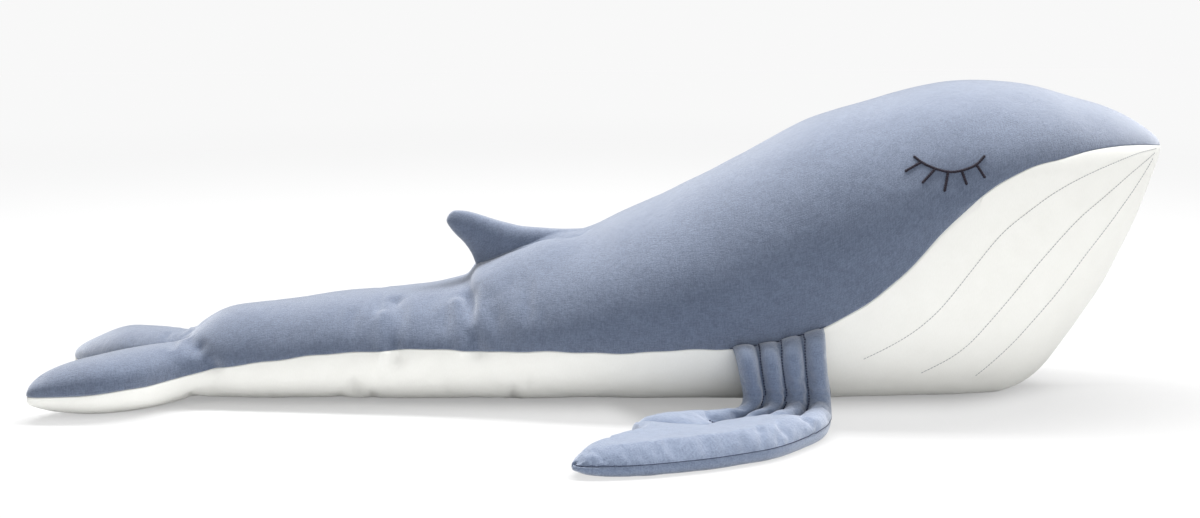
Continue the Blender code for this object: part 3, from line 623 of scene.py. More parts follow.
class Shader(Nodes):
    """The nodes of one material."""

    def __init__(self, name):
        self.material = bpy.data.materials.new(name)
        self.material.use_nodes = True
        super().__init__(self.material.node_tree)
        self.principled = self.tree.nodes["Principled BSDF"]
        self.place = self.node("ShaderNodeTexCoord", {}, {}, 3)

    def mix(self, share, a, b):
        return self.node("ShaderNodeMix", {"data_type": "RGBA"}, {0: share, 6: a, 7: b}, 2)

    def grain(self, source, scale, detail, rough):
        sockets = {"Vector": source, "Scale": scale, "Detail": detail, "Roughness": rough}
        return self.node("ShaderNodeTexNoise", {}, sockets)

    def threads(self, u, v, rough):
        """Threads on the cloth's map, so many to the metre each way."""
        cloth_map = self.node("ShaderNodeUVMap", {"uv_map": "cloth"}, {})
        sockets = {"Vector": cloth_map, "Scale": (u, v, 1)}
        return self.grain(self.node("ShaderNodeMapping", {}, sockets), 1.0, 2.0, rough)

    def within(self, value, low, high):
        sockets = {0: value, 1: low, 2: high, 3: 0.0, 4: 1.0}
        return self.node("ShaderNodeMapRange", {"interpolation_type": "SMOOTHSTEP"}, sockets)

    def finish(self, sockets):
        self.join(self.principled, sockets)
        return self.material

    def cloth(self, tone, deep, pale, strength, distance, height, sockets):
        """Cloth of a tone between two colours, with a bump of a strength, distance and height."""
        bump = {"Strength": strength, "Distance": distance, "Height": height}
        return self.finish({
            "Base Color": self.mix(tone, (*deep, 1), (*pale, 1)),
            "Normal": self.node("ShaderNodeBump", {}, bump),
            **sockets,
        })


# how much farther apart the threads' noise lies along them than across
THREAD_DRAWN = 0.16


def brushed_cloth(name, deep, pale, sheen, fleck, thread_scale):
    """Brushed, heathered cloth: fine crossed threads, flecks of lighter fibre and a soft nap."""
    shader = Shader(name)
    drawn = thread_scale * THREAD_DRAWN
    along = shader.threads(drawn, thread_scale, 0.6)
    threads = along * 0.5 + shader.threads(thread_scale, drawn, 0.6) * 0.5
    flecks = shader.grain(shader.place, thread_scale * 0.9, 3.0, 0.7)
    nap = shader.grain(shader.place, 130.0, 3.0, 0.6)
    cloud = shader.grain(shader.place, 14.0, 2.0, 0.5)
    tone = 0.5 + (threads - 0.5) * 2.0 * fleck + (flecks - 0.5) * 1.6 * fleck + (nap - 0.5) * 0.6
    tone = shader.within(tone + (cloud - 0.5) * 0.25, 0.0, 1.0)
    height = threads * 0.6 + flecks * 0.6 + nap * 0.5
    return shader.cloth(tone, deep, pale, 0.8, 0.0008, height, {
        "Roughness": 0.86 + 0.12 * flecks,
        "Sheen Weight": sheen,
        "Sheen Roughness": 0.62,
        "Sheen Tint": (0.90, 0.93, 1.0, 1),
        "Specular IOR Level": 0.15,
    })


def smooth_cloth(name, deep, pale):
    """Smooth white cloth with a hardly visible knit."""
    shader = Shader(name)
    threads = shader.threads(1100.0, 260.0, 0.5)
    soft = shader.grain(shader.place, 60.0, 3.0, 0.5)
    tone = shader.within(0.5 + (threads - 0.5) * 0.7 + (soft - 0.5) * 0.6, 0.0, 1.0)
    return shader.cloth(tone, deep, pale, 0.25, 0.0005, threads * 0.5 + soft * 0.8, {
        "Roughness": 0.80 + 0.15 * threads,
        "Sheen Weight": 0.15,
        "Specular IOR Level": 0.2,
    })


def thread_finish(name, deep, pale):
    """Twisted sewing thread."""
    shader = Shader(name)
    twist = shader.grain(shader.place, 1400.0, 2.0, 0.6)
    return shader.cloth(shader.within(twist, 0.35, 0.7), deep, pale, 0.4, 0.0002, twist, {
        "Roughness": 0.62 + 0.2 * twist,
        "Sheen Weight": 0.05,
        "Specular IOR Level": 0.2,
    })


BLUE = brushed_cloth(
    "blue brushed cloth", (0.050, 0.072, 0.124), (0.106, 0.139, 0.211), 0.82, 1.0, 900.0)
FLIPPER_BLUE = brushed_cloth(
    "flipper cloth", (0.088, 0.122, 0.197), (0.163, 0.208, 0.302), 0.80, 0.9, 800.0)
WHITE = smooth_cloth("white cloth", (0.78, 0.78, 0.745), (0.83, 0.83, 0.80))
EYE_THREAD = thread_finish("eye thread", (0.004, 0.003, 0.007), (0.024, 0.018, 0.032))
THROAT_THREAD = thread_finish("throat thread", (0.26, 0.27, 0.29), (0.40, 0.41, 0.43))
# navy thread on the flippers' channels and root seam; its dark line in the front edge is also
# painted shade of that seam
NAVY_THREAD_AND_SEAM_SHADE = thread_finish("navy thread and painted seam shade", (0.010, 0.014, 0.036), (0.034, 0.044, 0.086))


# Stitches follow their lines by geometry nodes


def stitch_tree():
    """A tree that lays a row of stitches along curves."""
    tree = bpy.data.node_groups.new("row of stitches", "GeometryNodeTree")
    for way, kind, names in (
        ("INPUT", "Geometry", ("Line",)),
        ("INPUT", "Float", ("Pitch", "Length", "Width")),
        ("INPUT", "Material", ("Thread",)),
        ("OUTPUT", "Geometry", ("Stitches",)),
    ):
        for name in names:
            tree.interface.new_socket(name, in_out=way, socket_type=f"NodeSocket{kind}")
    nodes = Nodes(tree)
    given = tree.nodes.new("NodeGroupInput").outputs
    line, pitch, length, width, thread = (
        Value(nodes, given[name]) for name in ("Line", "Pitch", "Length", "Width", "Thread")
    )
    even = {"Curve": line, "Length": pitch}
    even = nodes.node("GeometryNodeResampleCurve", {"mode": "LENGTH"}, even)
    ball = nodes.node("GeometryNodeMeshIcoSphere", {}, {"Radius": 0.5, "Subdivisions": 2})
    size = nodes.node("ShaderNodeCombineXYZ", {}, {"X": length, "Y": width, "Z": width})
    ahead = nodes.node("GeometryNodeInputTangent", {}, {})
    turn = nodes.node("FunctionNodeAlignRotationToVector", {"axis": "X"}, {"Vector": ahead})
    sewn = {"Points": even, "Instance": ball, "Rotation": turn, "Scale": size}
    sewn = nodes.node("GeometryNodeInstanceOnPoints", {}, sewn)
    for kind in ("RealizeInstances", "SetShadeSmooth"):
        sewn = nodes.node(f"GeometryNode{kind}", {}, {"Geometry": sewn})
    sewn = nodes.node("GeometryNodeSetMaterial", {}, {"Geometry": sewn, "Material": thread})
    nodes.join(tree.nodes.new("NodeGroupOutput"), {"Stitches": sewn})
    return tree


STITCHES = stitch_tree()


def stitched(name, lines, stitch, thread):
    """A mesh of stitches of one pitch, length and width along lines of points."""
    curve = bpy.data.curves.new(name, "CURVE")
    curve.dimensions = "3D"
    for line in lines:
        spline = curve.splines.new("POLY")
        spline.points.add(len(line) - 1)
        points = np.c_[line, np.ones(len(line))].astype(np.float32)
        spline.points.foreach_set("co", points.ravel())
    drawn = placed(name, curve)
    laid = drawn.modifiers.new("stitches", "NODES")
    laid.node_group = STITCHES
    values = dict(zip(("Pitch", "Length", "Width", "Thread"), (*stitch, thread)))
    for socket in STITCHES.interface.items_tree:
        if socket.name in values:
            laid[socket.identifier] = values[socket.name]
    seen = drawn.evaluated_get(bpy.context.evaluated_depsgraph_get())
    mesh = bpy.data.meshes.new_from_object(seen)
    bpy.data.objects.remove(drawn)
    mesh.name = name
    return dressed(name, mesh, thread)


def line_through(stops, step):
    """Points a step apart on a smooth line through a few stops."""
    stops = np.asarray(stops, float)
    return row(stops, even_places(lambda t: row(stops, t), 0, len(stops) - 1, step))


def lifted(found, lift):
    """Points that a tree has found on its surface, moved off it by a lift."""
    return np.array([np.array(place) + np.array(way) * lift
                     for place, way, _, _ in found if place is not None])


def on_cloth(cloth, points, lift):
    """Points moved to the nearest place on a surface, and off it by a lift."""
    return lifted((cloth.find_nearest(Vector(point)) for point in points), lift)


def seen_from_side(cloth, places, side, lift):
    """Where lines straight in from the side, at (x, z) places, first meet a surface."""
    inward, y = Vector((0, -side, 0)), side * ASIDE
    return lifted((cloth.ray_cast(Vector((x, y, z)), inward) for x, z in places), lift)


# The pieces of the skin


def declare(nodes):
    """Hides the frame's solids that a finished piece stands for."""
    if nodes:
        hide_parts(*nodes)


def solids_under(name, prefixes):
    """The solids of one panel; the stuffing goes with the white one."""
    found = []
    for node in (n for prefix in prefixes for n in frame["nodes"] if n.startswith(prefix)):
        low = node.endswith("stuffing") or "under_panel" in node or "belly" in node
        if low if name == "white" else node.endswith(name) and not low:
            found.append(node)
    return found


def dress_body(surfaces):
    """Cuts each panel into its stretches and hides the solids each stands for."""
    columns_x = np.concatenate([lobe(lobe_at, LOBE_LINE, 1, True)[:, 0], section(body_at)[0]])
    stretches = (
        ("flukes", "tail", "flukes", CREASE_START, CREASE_END, ("fluke_", "crease_")),
        ("tail", "waist", "tail", WAIST_SPLIT, WAIST_END, ("tail_", "waist_")),
        ("torso", "body", "waist", WAIST_START, WAIST_SPLIT, ("torso_",)),
    )
    for name, surface in surfaces.items():
        x = columns_x[surface.column]
        zones = (x > TAIL_SPLIT).astype(int) + (x > WAIST_SPLIT)
        look, slot, label = BLUE, "blue_cloth", f"back_cloth_{name}"
        if name == "white":
            look, slot, label = WHITE, "white_cloth", "belly_cloth"
        for zone, (stretch, first, second, start, end, prefixes) in enumerate(stretches):
            piece = surface.piece(f"{stretch}_{label}", look, zones == zone)
            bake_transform(piece)
            declare(solids_under(name, prefixes))


# Dorsal fin: height, leading and trailing edge as shares of the seat, thickness share
FIN_FRONT_X = -0.014
FIN_BACK_X = -0.126
FIN_HEIGHT = 0.060
FIN_THICKNESS = 0.0115
FIN_ROUNDNESS = 0.85
FIN_SHARES = (
    (0.160, 0.190, 0.885, 1.00),
    (0.290, 0.335, 0.885, 1.00),
    (0.410, 0.450, 0.895, 0.97),
    (0.540, 0.550, 0.915, 0.92),
    (0.660, 0.630, 0.940, 0.84),
    (0.790, 0.710, 0.960, 0.72),
    (0.900, 0.780, 0.968, 0.55),
    (0.965, 0.832, 0.948, 0.38),
    (1.000, 0.870, 0.920, 0.22),
    (1.012, 0.894, 0.894, 0.00),
)
FIN_RINGS = 44
FIN_POINTS = 72
FIN_FOOT_RINGS = 14
# how far the foot runs out on the back: in front, behind, at its sides, and more toward the front
FIN_FOOT = (0.0065, 0.0060, 0.0050, 0.0085)
# where round the fin, by the cosine, its foot turns out in a crease or runs out softly
FIN_CREASE = ((-0.55, -0.10), (-0.97, -0.70))
FIN_SOFT, FIN_LESS_SOFT, FIN_SOFT_LOST = (0.0, 0.6), (0.70, 1.0), 0.8
FIN_LEAST_FALL = 0.35
# the foot's two inner lines, as shares of the way to its edge, by crease or softness; how far a
# crease turns out and down at once; how deep the edge and the line before it lie in the back
FIN_FIRST, FIN_FIRST_SOFT = 0.6, (0.35, 0.25)
FIN_SECOND, FIN_SECOND_MORE, FIN_SECOND_RISE = 0.1, 0.52, 0.08
FIN_CREASE_OUT, FIN_CREASE_DOWN = 0.002, 0.0010
FIN_SUNK = (0.0012, -0.0003)
FIN_UNEVENNESS, FIN_UNEVEN_FROM = (0.0006, 0.022, 5), (0.0, 0.02)


def back_top(x, y):
    """The height of the back over (x, y)."""
    _, back, wide, _, _, _, widest = section(body_place(x))
    round_off = np.sqrt(np.clip(1 - (y / wide) ** 2, 0, 1))
    return widest + (back - widest) * round_off + fin_mound(x, y)


def fin_surface():
    """The fin with a foot that runs out into the back; also the way up from it, and its front."""
    front, end = (np.array((x, 0, back_top(x, 0.0) - fin_mound(x, 0.0)))
                  for x in (FIN_FRONT_X, FIN_BACK_X))
    seat, back = np.linalg.norm(end - front), unit(end - front)
    up = np.array((back[2], 0, -back[0]))
    around = np.linspace(0, 2 * np.pi, FIN_POINTS + 1)
    turn, aside = np.cos(around)[:, None], np.sin(around)[:, None]
    rings = []
    stations = row(FIN_SHARES, np.linspace(len(FIN_SHARES) - 1, 0, FIN_RINGS))
    for height, lead, trail, thick in stations:
        along = ((lead + trail) / 2 - (trail - lead) / 2 * turn) * seat
        out = thick * FIN_THICKNESS * np.sign(aside) * np.abs(aside) ** FIN_ROUNDNESS
        rings.append(front + along * back + out * (0, 1, 0) + height * FIN_HEIGHT * up)
    foot, above = rings[-1], rings[-2]
    fall = unit(foot - above)
    drop = (((foot - front) @ up) / np.maximum(-(fall @ up), FIN_LEAST_FALL))[:, None]
    outward = back * -turn + aside * (0, 1, 0)
    crease = ease(*FIN_CREASE[0], -turn) * ease(*FIN_CREASE[1], turn)
    ahead, behind, beside, more = FIN_FOOT
    soft = ease(*FIN_SOFT, turn) * (1 - FIN_SOFT_LOST * ease(*FIN_LESS_SOFT, turn))
    reach = np.where(turn > 0, ahead, behind) * turn**2 + beside * (1 - turn**2) + more * soft
    under = foot + fall * drop
    creased = foot + outward * FIN_CREASE_OUT - up * FIN_CREASE_DOWN
    down, out = FIN_FIRST_SOFT
    softened = foot + (under - foot) * down + outward * reach * out
    first = (foot + (under - foot) * FIN_FIRST) * (1 - crease) + creased * crease
    first = first * (1 - soft) + softened * soft
    share = FIN_SECOND + FIN_SECOND_MORE * np.maximum(crease, soft)
    second = under + outward * reach * share
    landing = under + outward * reach
    for spot, sunk in zip((landing, second), FIN_SUNK):
        spot[:, 2] = back_top(spot[:, 0], spot[:, 1]) - sunk
    second[:, 2:] += soft * drop * FIN_SECOND_RISE
    for t in np.linspace(0, 1, FIN_FOOT_RINGS)[1:]:
        rings.append((1 - t) ** 3 * foot + 3 * t * (1 - t) ** 2 * first
                     + 3 * t**2 * (1 - t) * second + t**3 * landing)
    grid = np.array(rings)
    grid[:, -1] = grid[:, 0]
    return Surface((grid, False, np.ones(grid.shape[:2]))), up, front


def dress_fin():
    surface, up, front = fin_surface()
    uneven = unevenness(surface.at, FIN_UNEVENNESS)
    surface.move(uneven * ease(*FIN_UNEVEN_FROM, (surface.at - front) @ up))
    piece = surface.piece("dorsal_fin_cloth", BLUE)
    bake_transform(piece)
    declare([n for n in frame["nodes"] if n.startswith("fin_")])


# Flippers: the root's ends along X, the fold's shift ahead of it, how far out the arm hangs, and
# the fold down to the blade's middle sheet
ROOT_BACK_X = 0.1030
ROOT_FRONT_X = 0.1820
LOW_SHIFT = 0.009
HANG_Y = 0.1190
FOLD_RADIUS = 0.018
SHEET_Z = 0.0076
# how far the upper cloth and, on the arm and the fold, the under cloth stand off the middle sheet
UPPER_OFF = 0.0122
LOWER_OFF = 0.0072
EDGE_LIFT = 0.0030
EDGE_TURN, EDGE_TURN_ROW = 0.0010, 6
ROOT_SHIFT = 0.0038
ROOT_RISE = 0.0026
ROOT_SUNK = 0.0024
# share of its thickness at the root, and the share of the arm where it is full
ROOT_THIN, FULL_FROM = 0.10, 0.42
# the back corner at the fold: cut in above, swept back below, and the powers of both
NOTCH = 0.0040
SWEEP = 0.0155
NOTCH_POWER, SWEEP_POWER, ROOT_SHIFT_POWER = 1.5, 2.2, 1.5
BLADE_LENGTH = 0.229
BLADE_REACH = 0.138
# leading x, y, trailing x, y and thickness; x behind the fold's front corner, y out from the fold
BLADE_SHARES = (
    (0.000, 0.000, 0.407, 0.000, 1.00),
    (0.040, 0.240, 0.470, 0.006, 1.00),
    (0.152, 0.485, 0.561, 0.030, 1.00),
    (0.261, 0.665, 0.665, 0.070, 1.00),
    (0.391, 0.785, 0.738, 0.150, 1.00),
    (0.526, 0.880, 0.768, 0.272, 1.00),
    (0.657, 0.945, 0.744, 0.392, 1.00),
    (0.763, 0.985, 0.830, 0.530, 0.96),
    (0.857, 1.000, 0.926, 0.680, 0.90),
    (0.930, 1.000, 0.974, 0.815, 0.72),
    (0.978, 0.985, 1.000, 0.905, 0.44),
    (0.988, 0.972, 0.999, 0.925, 0.30),
    (0.992, 0.950, 0.992, 0.950, 0.00),
)
BLADE_TIP_COLUMNS = 5
# stitched channels: place along the blade and across the flipper; then where each starts to fade
# and ends, its depth, and its width on the blade
CHANNELS = (
    (((-2, 0.25), (0, 0.25), (0.9, 0.25), (1.6, 0.28), (2.2, 0.25), (2.8, 0.145)),
     1.9, 2.7, 1.0, 0.0070),
    (((-2, 0.50), (0, 0.49), (0.8, 0.42), (1.8, 0.38), (2.6, 0.38), (3.3, 0.42), (3.7, 0.36),
      (4.1, 0.215), (4.7, 0.02)), 4.4, 5.0, 0.9, 0.0160),
    (((-2, 0.75), (0, 0.745), (0.9, 0.70), (1.3, 0.68), (1.8, 0.625)), 1.1, 2.0, 1.0, 0.0070),
)
# how deep a channel draws the cloth in, less on the blade; its width on the arm, and its sharpness
CHANNEL_DRAW, CHANNEL_LESS_ON_BLADE = 0.88, 0.25
CHANNEL_WIDTH, CHANNEL_POWER = 0.0048, 1.4
# the middle channel's thread ends at this place on the blade
THREAD_END = 1.6
# where each thread is looked for, off the sheet or the seam, and how far it lies on the cloth;
# columns after the fold and before the tip where the edge's starts and ends
CHANNEL_THREAD, CHANNEL_LIFT = (0, 0.004, 0.004), 0.0007
EDGE_THREAD, EDGE_THREAD_LIFT = (0.0012, 0.0004, 0.0004), 0.0002
ROOT_THREAD, ROOT_THREAD_LIFT = (0, 0.0012, 0.0016), 0.0012
ROOT_THREAD_PAST = 0.001
EDGE_THREAD_ENDS = (4, 2)
# wrinkles across the fingers at the fold: place along the flipper, depth; and their width
FOLD_WRINKLES = (
    (-1.24, 0.10), (-1.04, 0.32), (-0.62, 0.20), (-0.34, 0.14), (-0.05, 0.16), (0.22, 0.08))
FOLD_WRINKLE_WIDTH = 0.055
# where the fold turns into the flat blade, and how wide the cloth rounds off to its back edge, its
# front edge (and more on the blade) and, underneath, to both
BLADE_FLAT_FROM = (0.4, 1.6)
ROUND_BACK, ROUND_FRONT, ROUND_FRONT_MORE, ROUND_UNDER = 0.0100, 0.0105, 0.0095, 0.0060
# the simulation holds the cloth where a channel draws it in this far, and at the blade's tip
HELD_BY_CHANNEL, HELD_AT_TIP = (0.25, 0.6), (8.8, 10.2)
ARM_COLUMNS = 16
FOLD_COLUMNS = 12
BLADE_STEP = 0.0030
BLADE_ROWS = 56
BLADE_EDGE_ROWS = (0.0, 0.002, 0.008, 0.018, 0.032)
SPLIT_COLUMN = 9
# rounds that even out the sheet; columns and rounds where it runs into the blade; and the place,
# columns and rounds where the upper cloth turns the fold
SHEET_ROUNDS, BLADE_JOIN = 6, (6, 40)
UPPER_JOIN = (ARM_COLUMNS + FOLD_COLUMNS * 0.6, 5, 14)
FLIPPER_UNEVENNESS = {
    "upper": ((0.0005, 0.012, 11), (0.0004, 0.03, 13)),
    "lower": ((0.0005, 0.012, 12), (0.0004, 0.03, 14)),
}
FLIPPER_UNEVEN_FROM = (0.0005, 0.006)
ACROSS = rows_across(BLADE_EDGE_ROWS, BLADE_ROWS)
# the hinge at the root: a point on it, the way out from it, and the length of the bend
ROOT_HINGE = (0.103, 0.1066, 0.0644)
ROOT_WAY_OUT = (0.1233, 0.6084, -0.7738)
ROOT_BEND = 0.013


def flipper_sheet(side):
    """The flipper's middle sheet, its columns' places along it, and their thickness."""
    x_root = ROOT_BACK_X + (ROOT_FRONT_X - ROOT_BACK_X) * ACROSS
    at = body_place(x_root)
    root = skin(at, seam_turn(at), 1) + (0, 0, ROOT_RISE)
    fold_top = SHEET_Z + FOLD_RADIUS
    start = root[:, 1] - ROOT_SUNK
    bend = HANG_Y - start
    curve = bend * np.pi / 2
    to_back = (1 - ACROSS) ** NOTCH_POWER
    columns, places, thick = [], [], []
    for down in np.arange(ARM_COLUMNS) / ARM_COLUMNS:
        run = (curve + root[:, 2] - bend - fold_top) * down
        turn = np.minimum(run / bend, np.pi / 2)
        out = start + bend * np.sin(turn)
        z = root[:, 2] - bend * (1 - np.cos(turn)) - np.maximum(run - curve, 0)
        shift = LOW_SHIFT * down + ROOT_SHIFT * (1 - down) ** ROOT_SHIFT_POWER
        shift = shift + NOTCH * down * to_back
        columns.append(np.stack([x_root + shift, out, z], 1))
        places.append(down - 2)
        swell = math.sin(min(down / FULL_FROM, 1) * math.pi / 2)
        thick.append(ROOT_THIN + (1 - ROOT_THIN) * swell)
    for share in np.arange(FOLD_COLUMNS) / FOLD_COLUMNS:
        turn = math.pi / 2 * (1 - share)
        out = HANG_Y + FOLD_RADIUS * (1 - math.sin(turn))
        z = fold_top - FOLD_RADIUS * math.cos(turn)
        cut_in = NOTCH - (NOTCH + SWEEP) * share**SWEEP_POWER
        x = x_root + LOW_SHIFT + cut_in * to_back
        columns.append(np.stack([x, np.full_like(x, out), np.full_like(x, z)], 1))
        places.append(share - 1)
        thick.append(1.0)
    corner = ROOT_FRONT_X + LOW_SHIFT
    fold = HANG_Y + FOLD_RADIUS

    def middle(at):
        stations = row(BLADE_SHARES, at)
        return (stations[:, :2] + stations[:, 2:4]) / 2 * (BLADE_LENGTH, BLADE_REACH)

    along = even_places(middle, 0, len(BLADE_SHARES) - 1, BLADE_STEP)
    along = np.r_[along[:-2], np.linspace(along[-2], along[-1], BLADE_TIP_COLUMNS)]
    for place, (*ends, full) in zip(along, row(BLADE_SHARES, along)):
        lead, trail = (
            np.array((corner - x * BLADE_LENGTH, fold + y * BLADE_REACH, SHEET_Z))
            for x, y in (ends[:2], ends[2:])
        )
        column = trail + (lead - trail) * ACROSS[:, None]
        column[:, 2] += EDGE_LIFT * ACROSS**3 * ease(0.0, 1.0, place)
        columns.append(column)
        places.append(place)
        thick.append(full)
    grid = relaxed(np.array(columns), SHEET_ROUNDS)
    grid = even_out(grid, ARM_COLUMNS + FOLD_COLUMNS, *BLADE_JOIN)
    return mirrored(grid, side), np.array(places), np.array(thick)


def flipper_heights(grid, places, thick):
    """How far the upper and under cloths stand off the sheet, drawn in at channels and edges."""
    run, rest = border_distance(grid)
    width = run[:, -1:]
    edge = np.minimum(run, rest)
    flat = ease(*BLADE_FLAT_FROM, places)[:, None]
    front = ROUND_FRONT + ROUND_FRONT_MORE * flat
    full, front, rim = (
        np.sqrt(1 - np.clip(1 - off / np.clip(width / 2, 1e-6, reach), 0, 1) ** 2)
        for off, reach in ((run, ROUND_BACK), (rest, front), (edge, ROUND_UNDER))
    )
    full = np.minimum(full, front)
    drawn = np.ones_like(run)
    for path, fade, end, depth, wide in CHANNELS:
        away = np.abs(ACROSS - np.interp(places, *zip(*path))[:, None]) * width
        strength = depth * (1 - ease(fade, end, places))[:, None]
        strength = strength * (1 - CHANNEL_LESS_ON_BLADE * flat)
        wide = CHANNEL_WIDTH + (wide - CHANNEL_WIDTH) * flat
        drawn *= 1 - CHANNEL_DRAW * strength * np.exp(-((away / wide) ** CHANNEL_POWER))
    pinch = sum(depth * np.exp(-(((places - at) / FOLD_WRINKLE_WIDTH) ** 2))
                for at, depth in FOLD_WRINKLES)[:, None]
    over = UPPER_OFF * full * drawn * thick[:, None] * (1 - pinch * drawn)
    under = rim * (1 - (1 - drawn) * (1 - flat)) * thick[:, None]
    under = under * np.where(places < 0, LOWER_OFF, 1)[:, None]
    blade = places >= 0
    under[blade] *= np.maximum(grid[blade, :, 2] - FLOOR_GAP, 0)
    return over, under, edge, drawn


def ride_flipper(piece, side, part):
    """Bakes a piece where it lies; it does not follow the flipper's bends at its root or fold."""
    if part == "arm":
        root, way_out = mirrored(ROOT_HINGE, side), mirrored(ROOT_WAY_OUT, side)
        root + way_out * ROOT_BEND
        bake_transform(piece)
    else:
        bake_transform(piece)


# how the upper cloth swells on the left flipper, which the right one mirrors
flipper_swells = []


def upper_swell(cloth, side, places, drawn):
    """How far the upper cloth moves as filled cloth between its channels."""
    if not flipper_swells:
        held = np.maximum(held_borders(cloth), 1 - ease(*HELD_BY_CHANNEL, drawn))
        held = np.maximum(held, ease(*HELD_AT_TIP, places)[:, None])
        flipper_swells.append(swelled(mirrored(cloth, side), True, held, **FLIPPER_SWELL))
    return mirrored(flipper_swells[0], side)


def dress_flipper(label, side):
    """Makes a flipper's pieces; gives its upper cloth, its sheet and the columns' places."""
    grid, places, thick = flipper_sheet(side)
    over, under, edge, drawn = flipper_heights(grid, places, thick)
    flat = Surface((grid, side > 0, edge))
    way = flat.normal[flat.key].reshape(grid.shape)
    inward = np.zeros_like(grid)
    for border, row_in in ((0, EDGE_TURN_ROW), (-1, -1 - EDGE_TURN_ROW)):
        inward[:, border] = unit(grid[:, row_in] - grid[:, border]) * EDGE_TURN
    inward[-1] = 0
    prefix, made = f"flipper_{label}", {}
    for name, heights, sign in (("upper", over, 1), ("lower", under, -1)):
        cloth = grid + inward + way * (heights * sign)[..., None]
        if name == "upper":
            cloth = even_out(cloth, *UPPER_JOIN)
            cloth += upper_swell(cloth, side, places, drawn)
        surface = made[name] = Surface((cloth, side * sign > 0, edge))
        uneven = unevenness(surface.at, *FLIPPER_UNEVENNESS[name])
        surface.move(uneven * ease(*FLIPPER_UNEVEN_FROM, surface.edge))
        surface.rest_on_floor()
    for name, surface in made.items():
        arm = surface.column < SPLIT_COLUMN
        for part, chosen, stretches in (
            ("root", arm, ("arm",)), ("blade", ~arm, ("fold", "blade")),
        ):
            piece = surface.piece(f"{prefix}_{part}_{name}_cloth", FLIPPER_BLUE, chosen)
            ride_flipper(piece, side, stretches[-1])
            nodes = [f"{prefix}_{stretch}_{name}_panel" for stretch in stretches]
            if name == "upper":
                nodes += [f"{prefix}_{stretch}_stuffing" for stretch in stretches]
            declare(nodes)
    return made["upper"], grid, places


def sew_flipper(label, side, upper, grid, places, body):
    """Thread along a flipper's channels and root seam; in its front edge, thread that is also
    painted seam shade.
    """
    cloth = upper.tree()
    cut = SPLIT_COLUMN + 1
    after, before = EDGE_THREAD_ENDS
    channels = []
    for path, fade, end, depth, _ in CHANNELS:
        line = np.array([[np.interp(a, ACROSS, column[:, k]) for k in range(3)]
                         for a, column in zip(np.interp(places, *zip(*path)), grid)])
        line = line[places < ((fade + end) / 2 if depth == 1.0 else THREAD_END)]
        channels.append(on_cloth(cloth, line + mirrored(CHANNEL_THREAD, side), CHANNEL_LIFT))
    # the front edge's dark thread line is painted shade of the seam as well as thread
    front = grid[:, -1] + mirrored(EDGE_THREAD, side)
    front = on_cloth(cloth, front, EDGE_THREAD_LIFT)
    at = np.linspace(ROOT_BACK_X - ROOT_THREAD_PAST, ROOT_FRONT_X + ROOT_THREAD_PAST, SEAM_SAMPLES)
    at = body_place(at + ROOT_SHIFT)
    seam = skin(at, seam_turn(at), side) + mirrored(ROOT_THREAD, side)
    root = on_cloth(body.tree(), seam, ROOT_THREAD_LIFT)
    arm, blade = [line[1:cut] for line in channels], [line[cut - 1:] for line in channels]
    for kind, stitch, part, lines in (
        ("channel", CHANNEL_STITCH, "arm", arm),
        ("channel", CHANNEL_STITCH, "blade", blade),
        ("seam", SEAM_STITCH, "arm", [root]),
        ("seam", SEAM_STITCH, "blade", [front[cut + after:-before]]),
    ):
        name = f"flipper_{label}_{part}_{kind}_stitches"
        piece = stitched(name, lines, stitch, NAVY_THREAD_AND_SEAM_SHADE)
        ride_flipper(piece, side, part)


# Eyes: closed, an arc with five lashes, as shares of width and drop seen from the side
EYE_BACK_X = 0.2641
EYE_Z = 0.2176
EYE_WIDTH = 0.0576
EYE_DROP = 0.0120
EYE_STEP, EYE_LIFT = 0.0015, 0.0004
EYE_SHARES = (
    ((0.00, 0.92), (0.09, 0.60), (0.20, 0.34), (0.34, 0.11), (0.48, -0.01), (0.62, 0.05),
     (0.76, 0.24), (0.89, 0.54), (1.00, 1.04)),
    ((0.085, 0.60), (-0.14, 0.00)),
    ((0.28, 0.18), (0.09, -0.73)),
    ((0.46, -0.01), (0.40, -1.25)),
    ((0.66, 0.09), (0.72, -0.78)),
    ((0.88, 0.50), (0.99, -0.32)),
)


def dress_eye(label, side, surface):
    cloth = surface.tree()
    lines = []
    for shares in EYE_SHARES:
        stops = [(EYE_BACK_X + a * EYE_WIDTH, EYE_Z + b * EYE_DROP) for a, b in shares]
        lines.append(seen_from_side(cloth, line_through(stops, EYE_STEP), side, EYE_LIFT))
    piece = stitched(f"eye_{label}_thread", lines, EYE_STITCH, EYE_THREAD)
    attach(piece, "body")
    declare([f"eye_{label}"])


# Throat: rows of stitching that fan out from the snout, seen from the side, as shares behind the
# snout and of the height; the middle row's ends behind the snout
THROAT_SHARES = (
    ((0.0140, 0.7950), (0.0330, 0.7950), (0.0625, 0.7700), (0.0918, 0.7370), (0.1173, 0.6960),
     (0.1417, 0.6400), (0.1656, 0.5740), (0.1884, 0.4760), (0.2124, 0.3620), (0.2296, 0.2980),
     (0.2472, 0.2500), (0.2646, 0.2130), (0.2790, 0.1860)),
    ((0.0160, 0.7820), (0.0396, 0.7400), (0.0655, 0.6800), (0.0919, 0.6160), (0.1128, 0.5450),
     (0.1348, 0.4580), (0.1526, 0.3800), (0.1733, 0.2880), (0.1900, 0.2180), (0.2072, 0.1690),
     (0.2262, 0.1300)),
    ((0.0185, 0.7640), (0.0423, 0.6640), (0.0629, 0.5800), (0.0883, 0.4750), (0.1085, 0.3850),
     (0.1339, 0.2780), (0.1477, 0.2190), (0.1630, 0.1600), (0.1759, 0.1100)),
)
THROAT_MIDDLE_SHARES = (0.026, 0.116)
THROAT_STEP, THROAT_ROUNDS, THROAT_LIFT = 0.004, 30, 0.00014


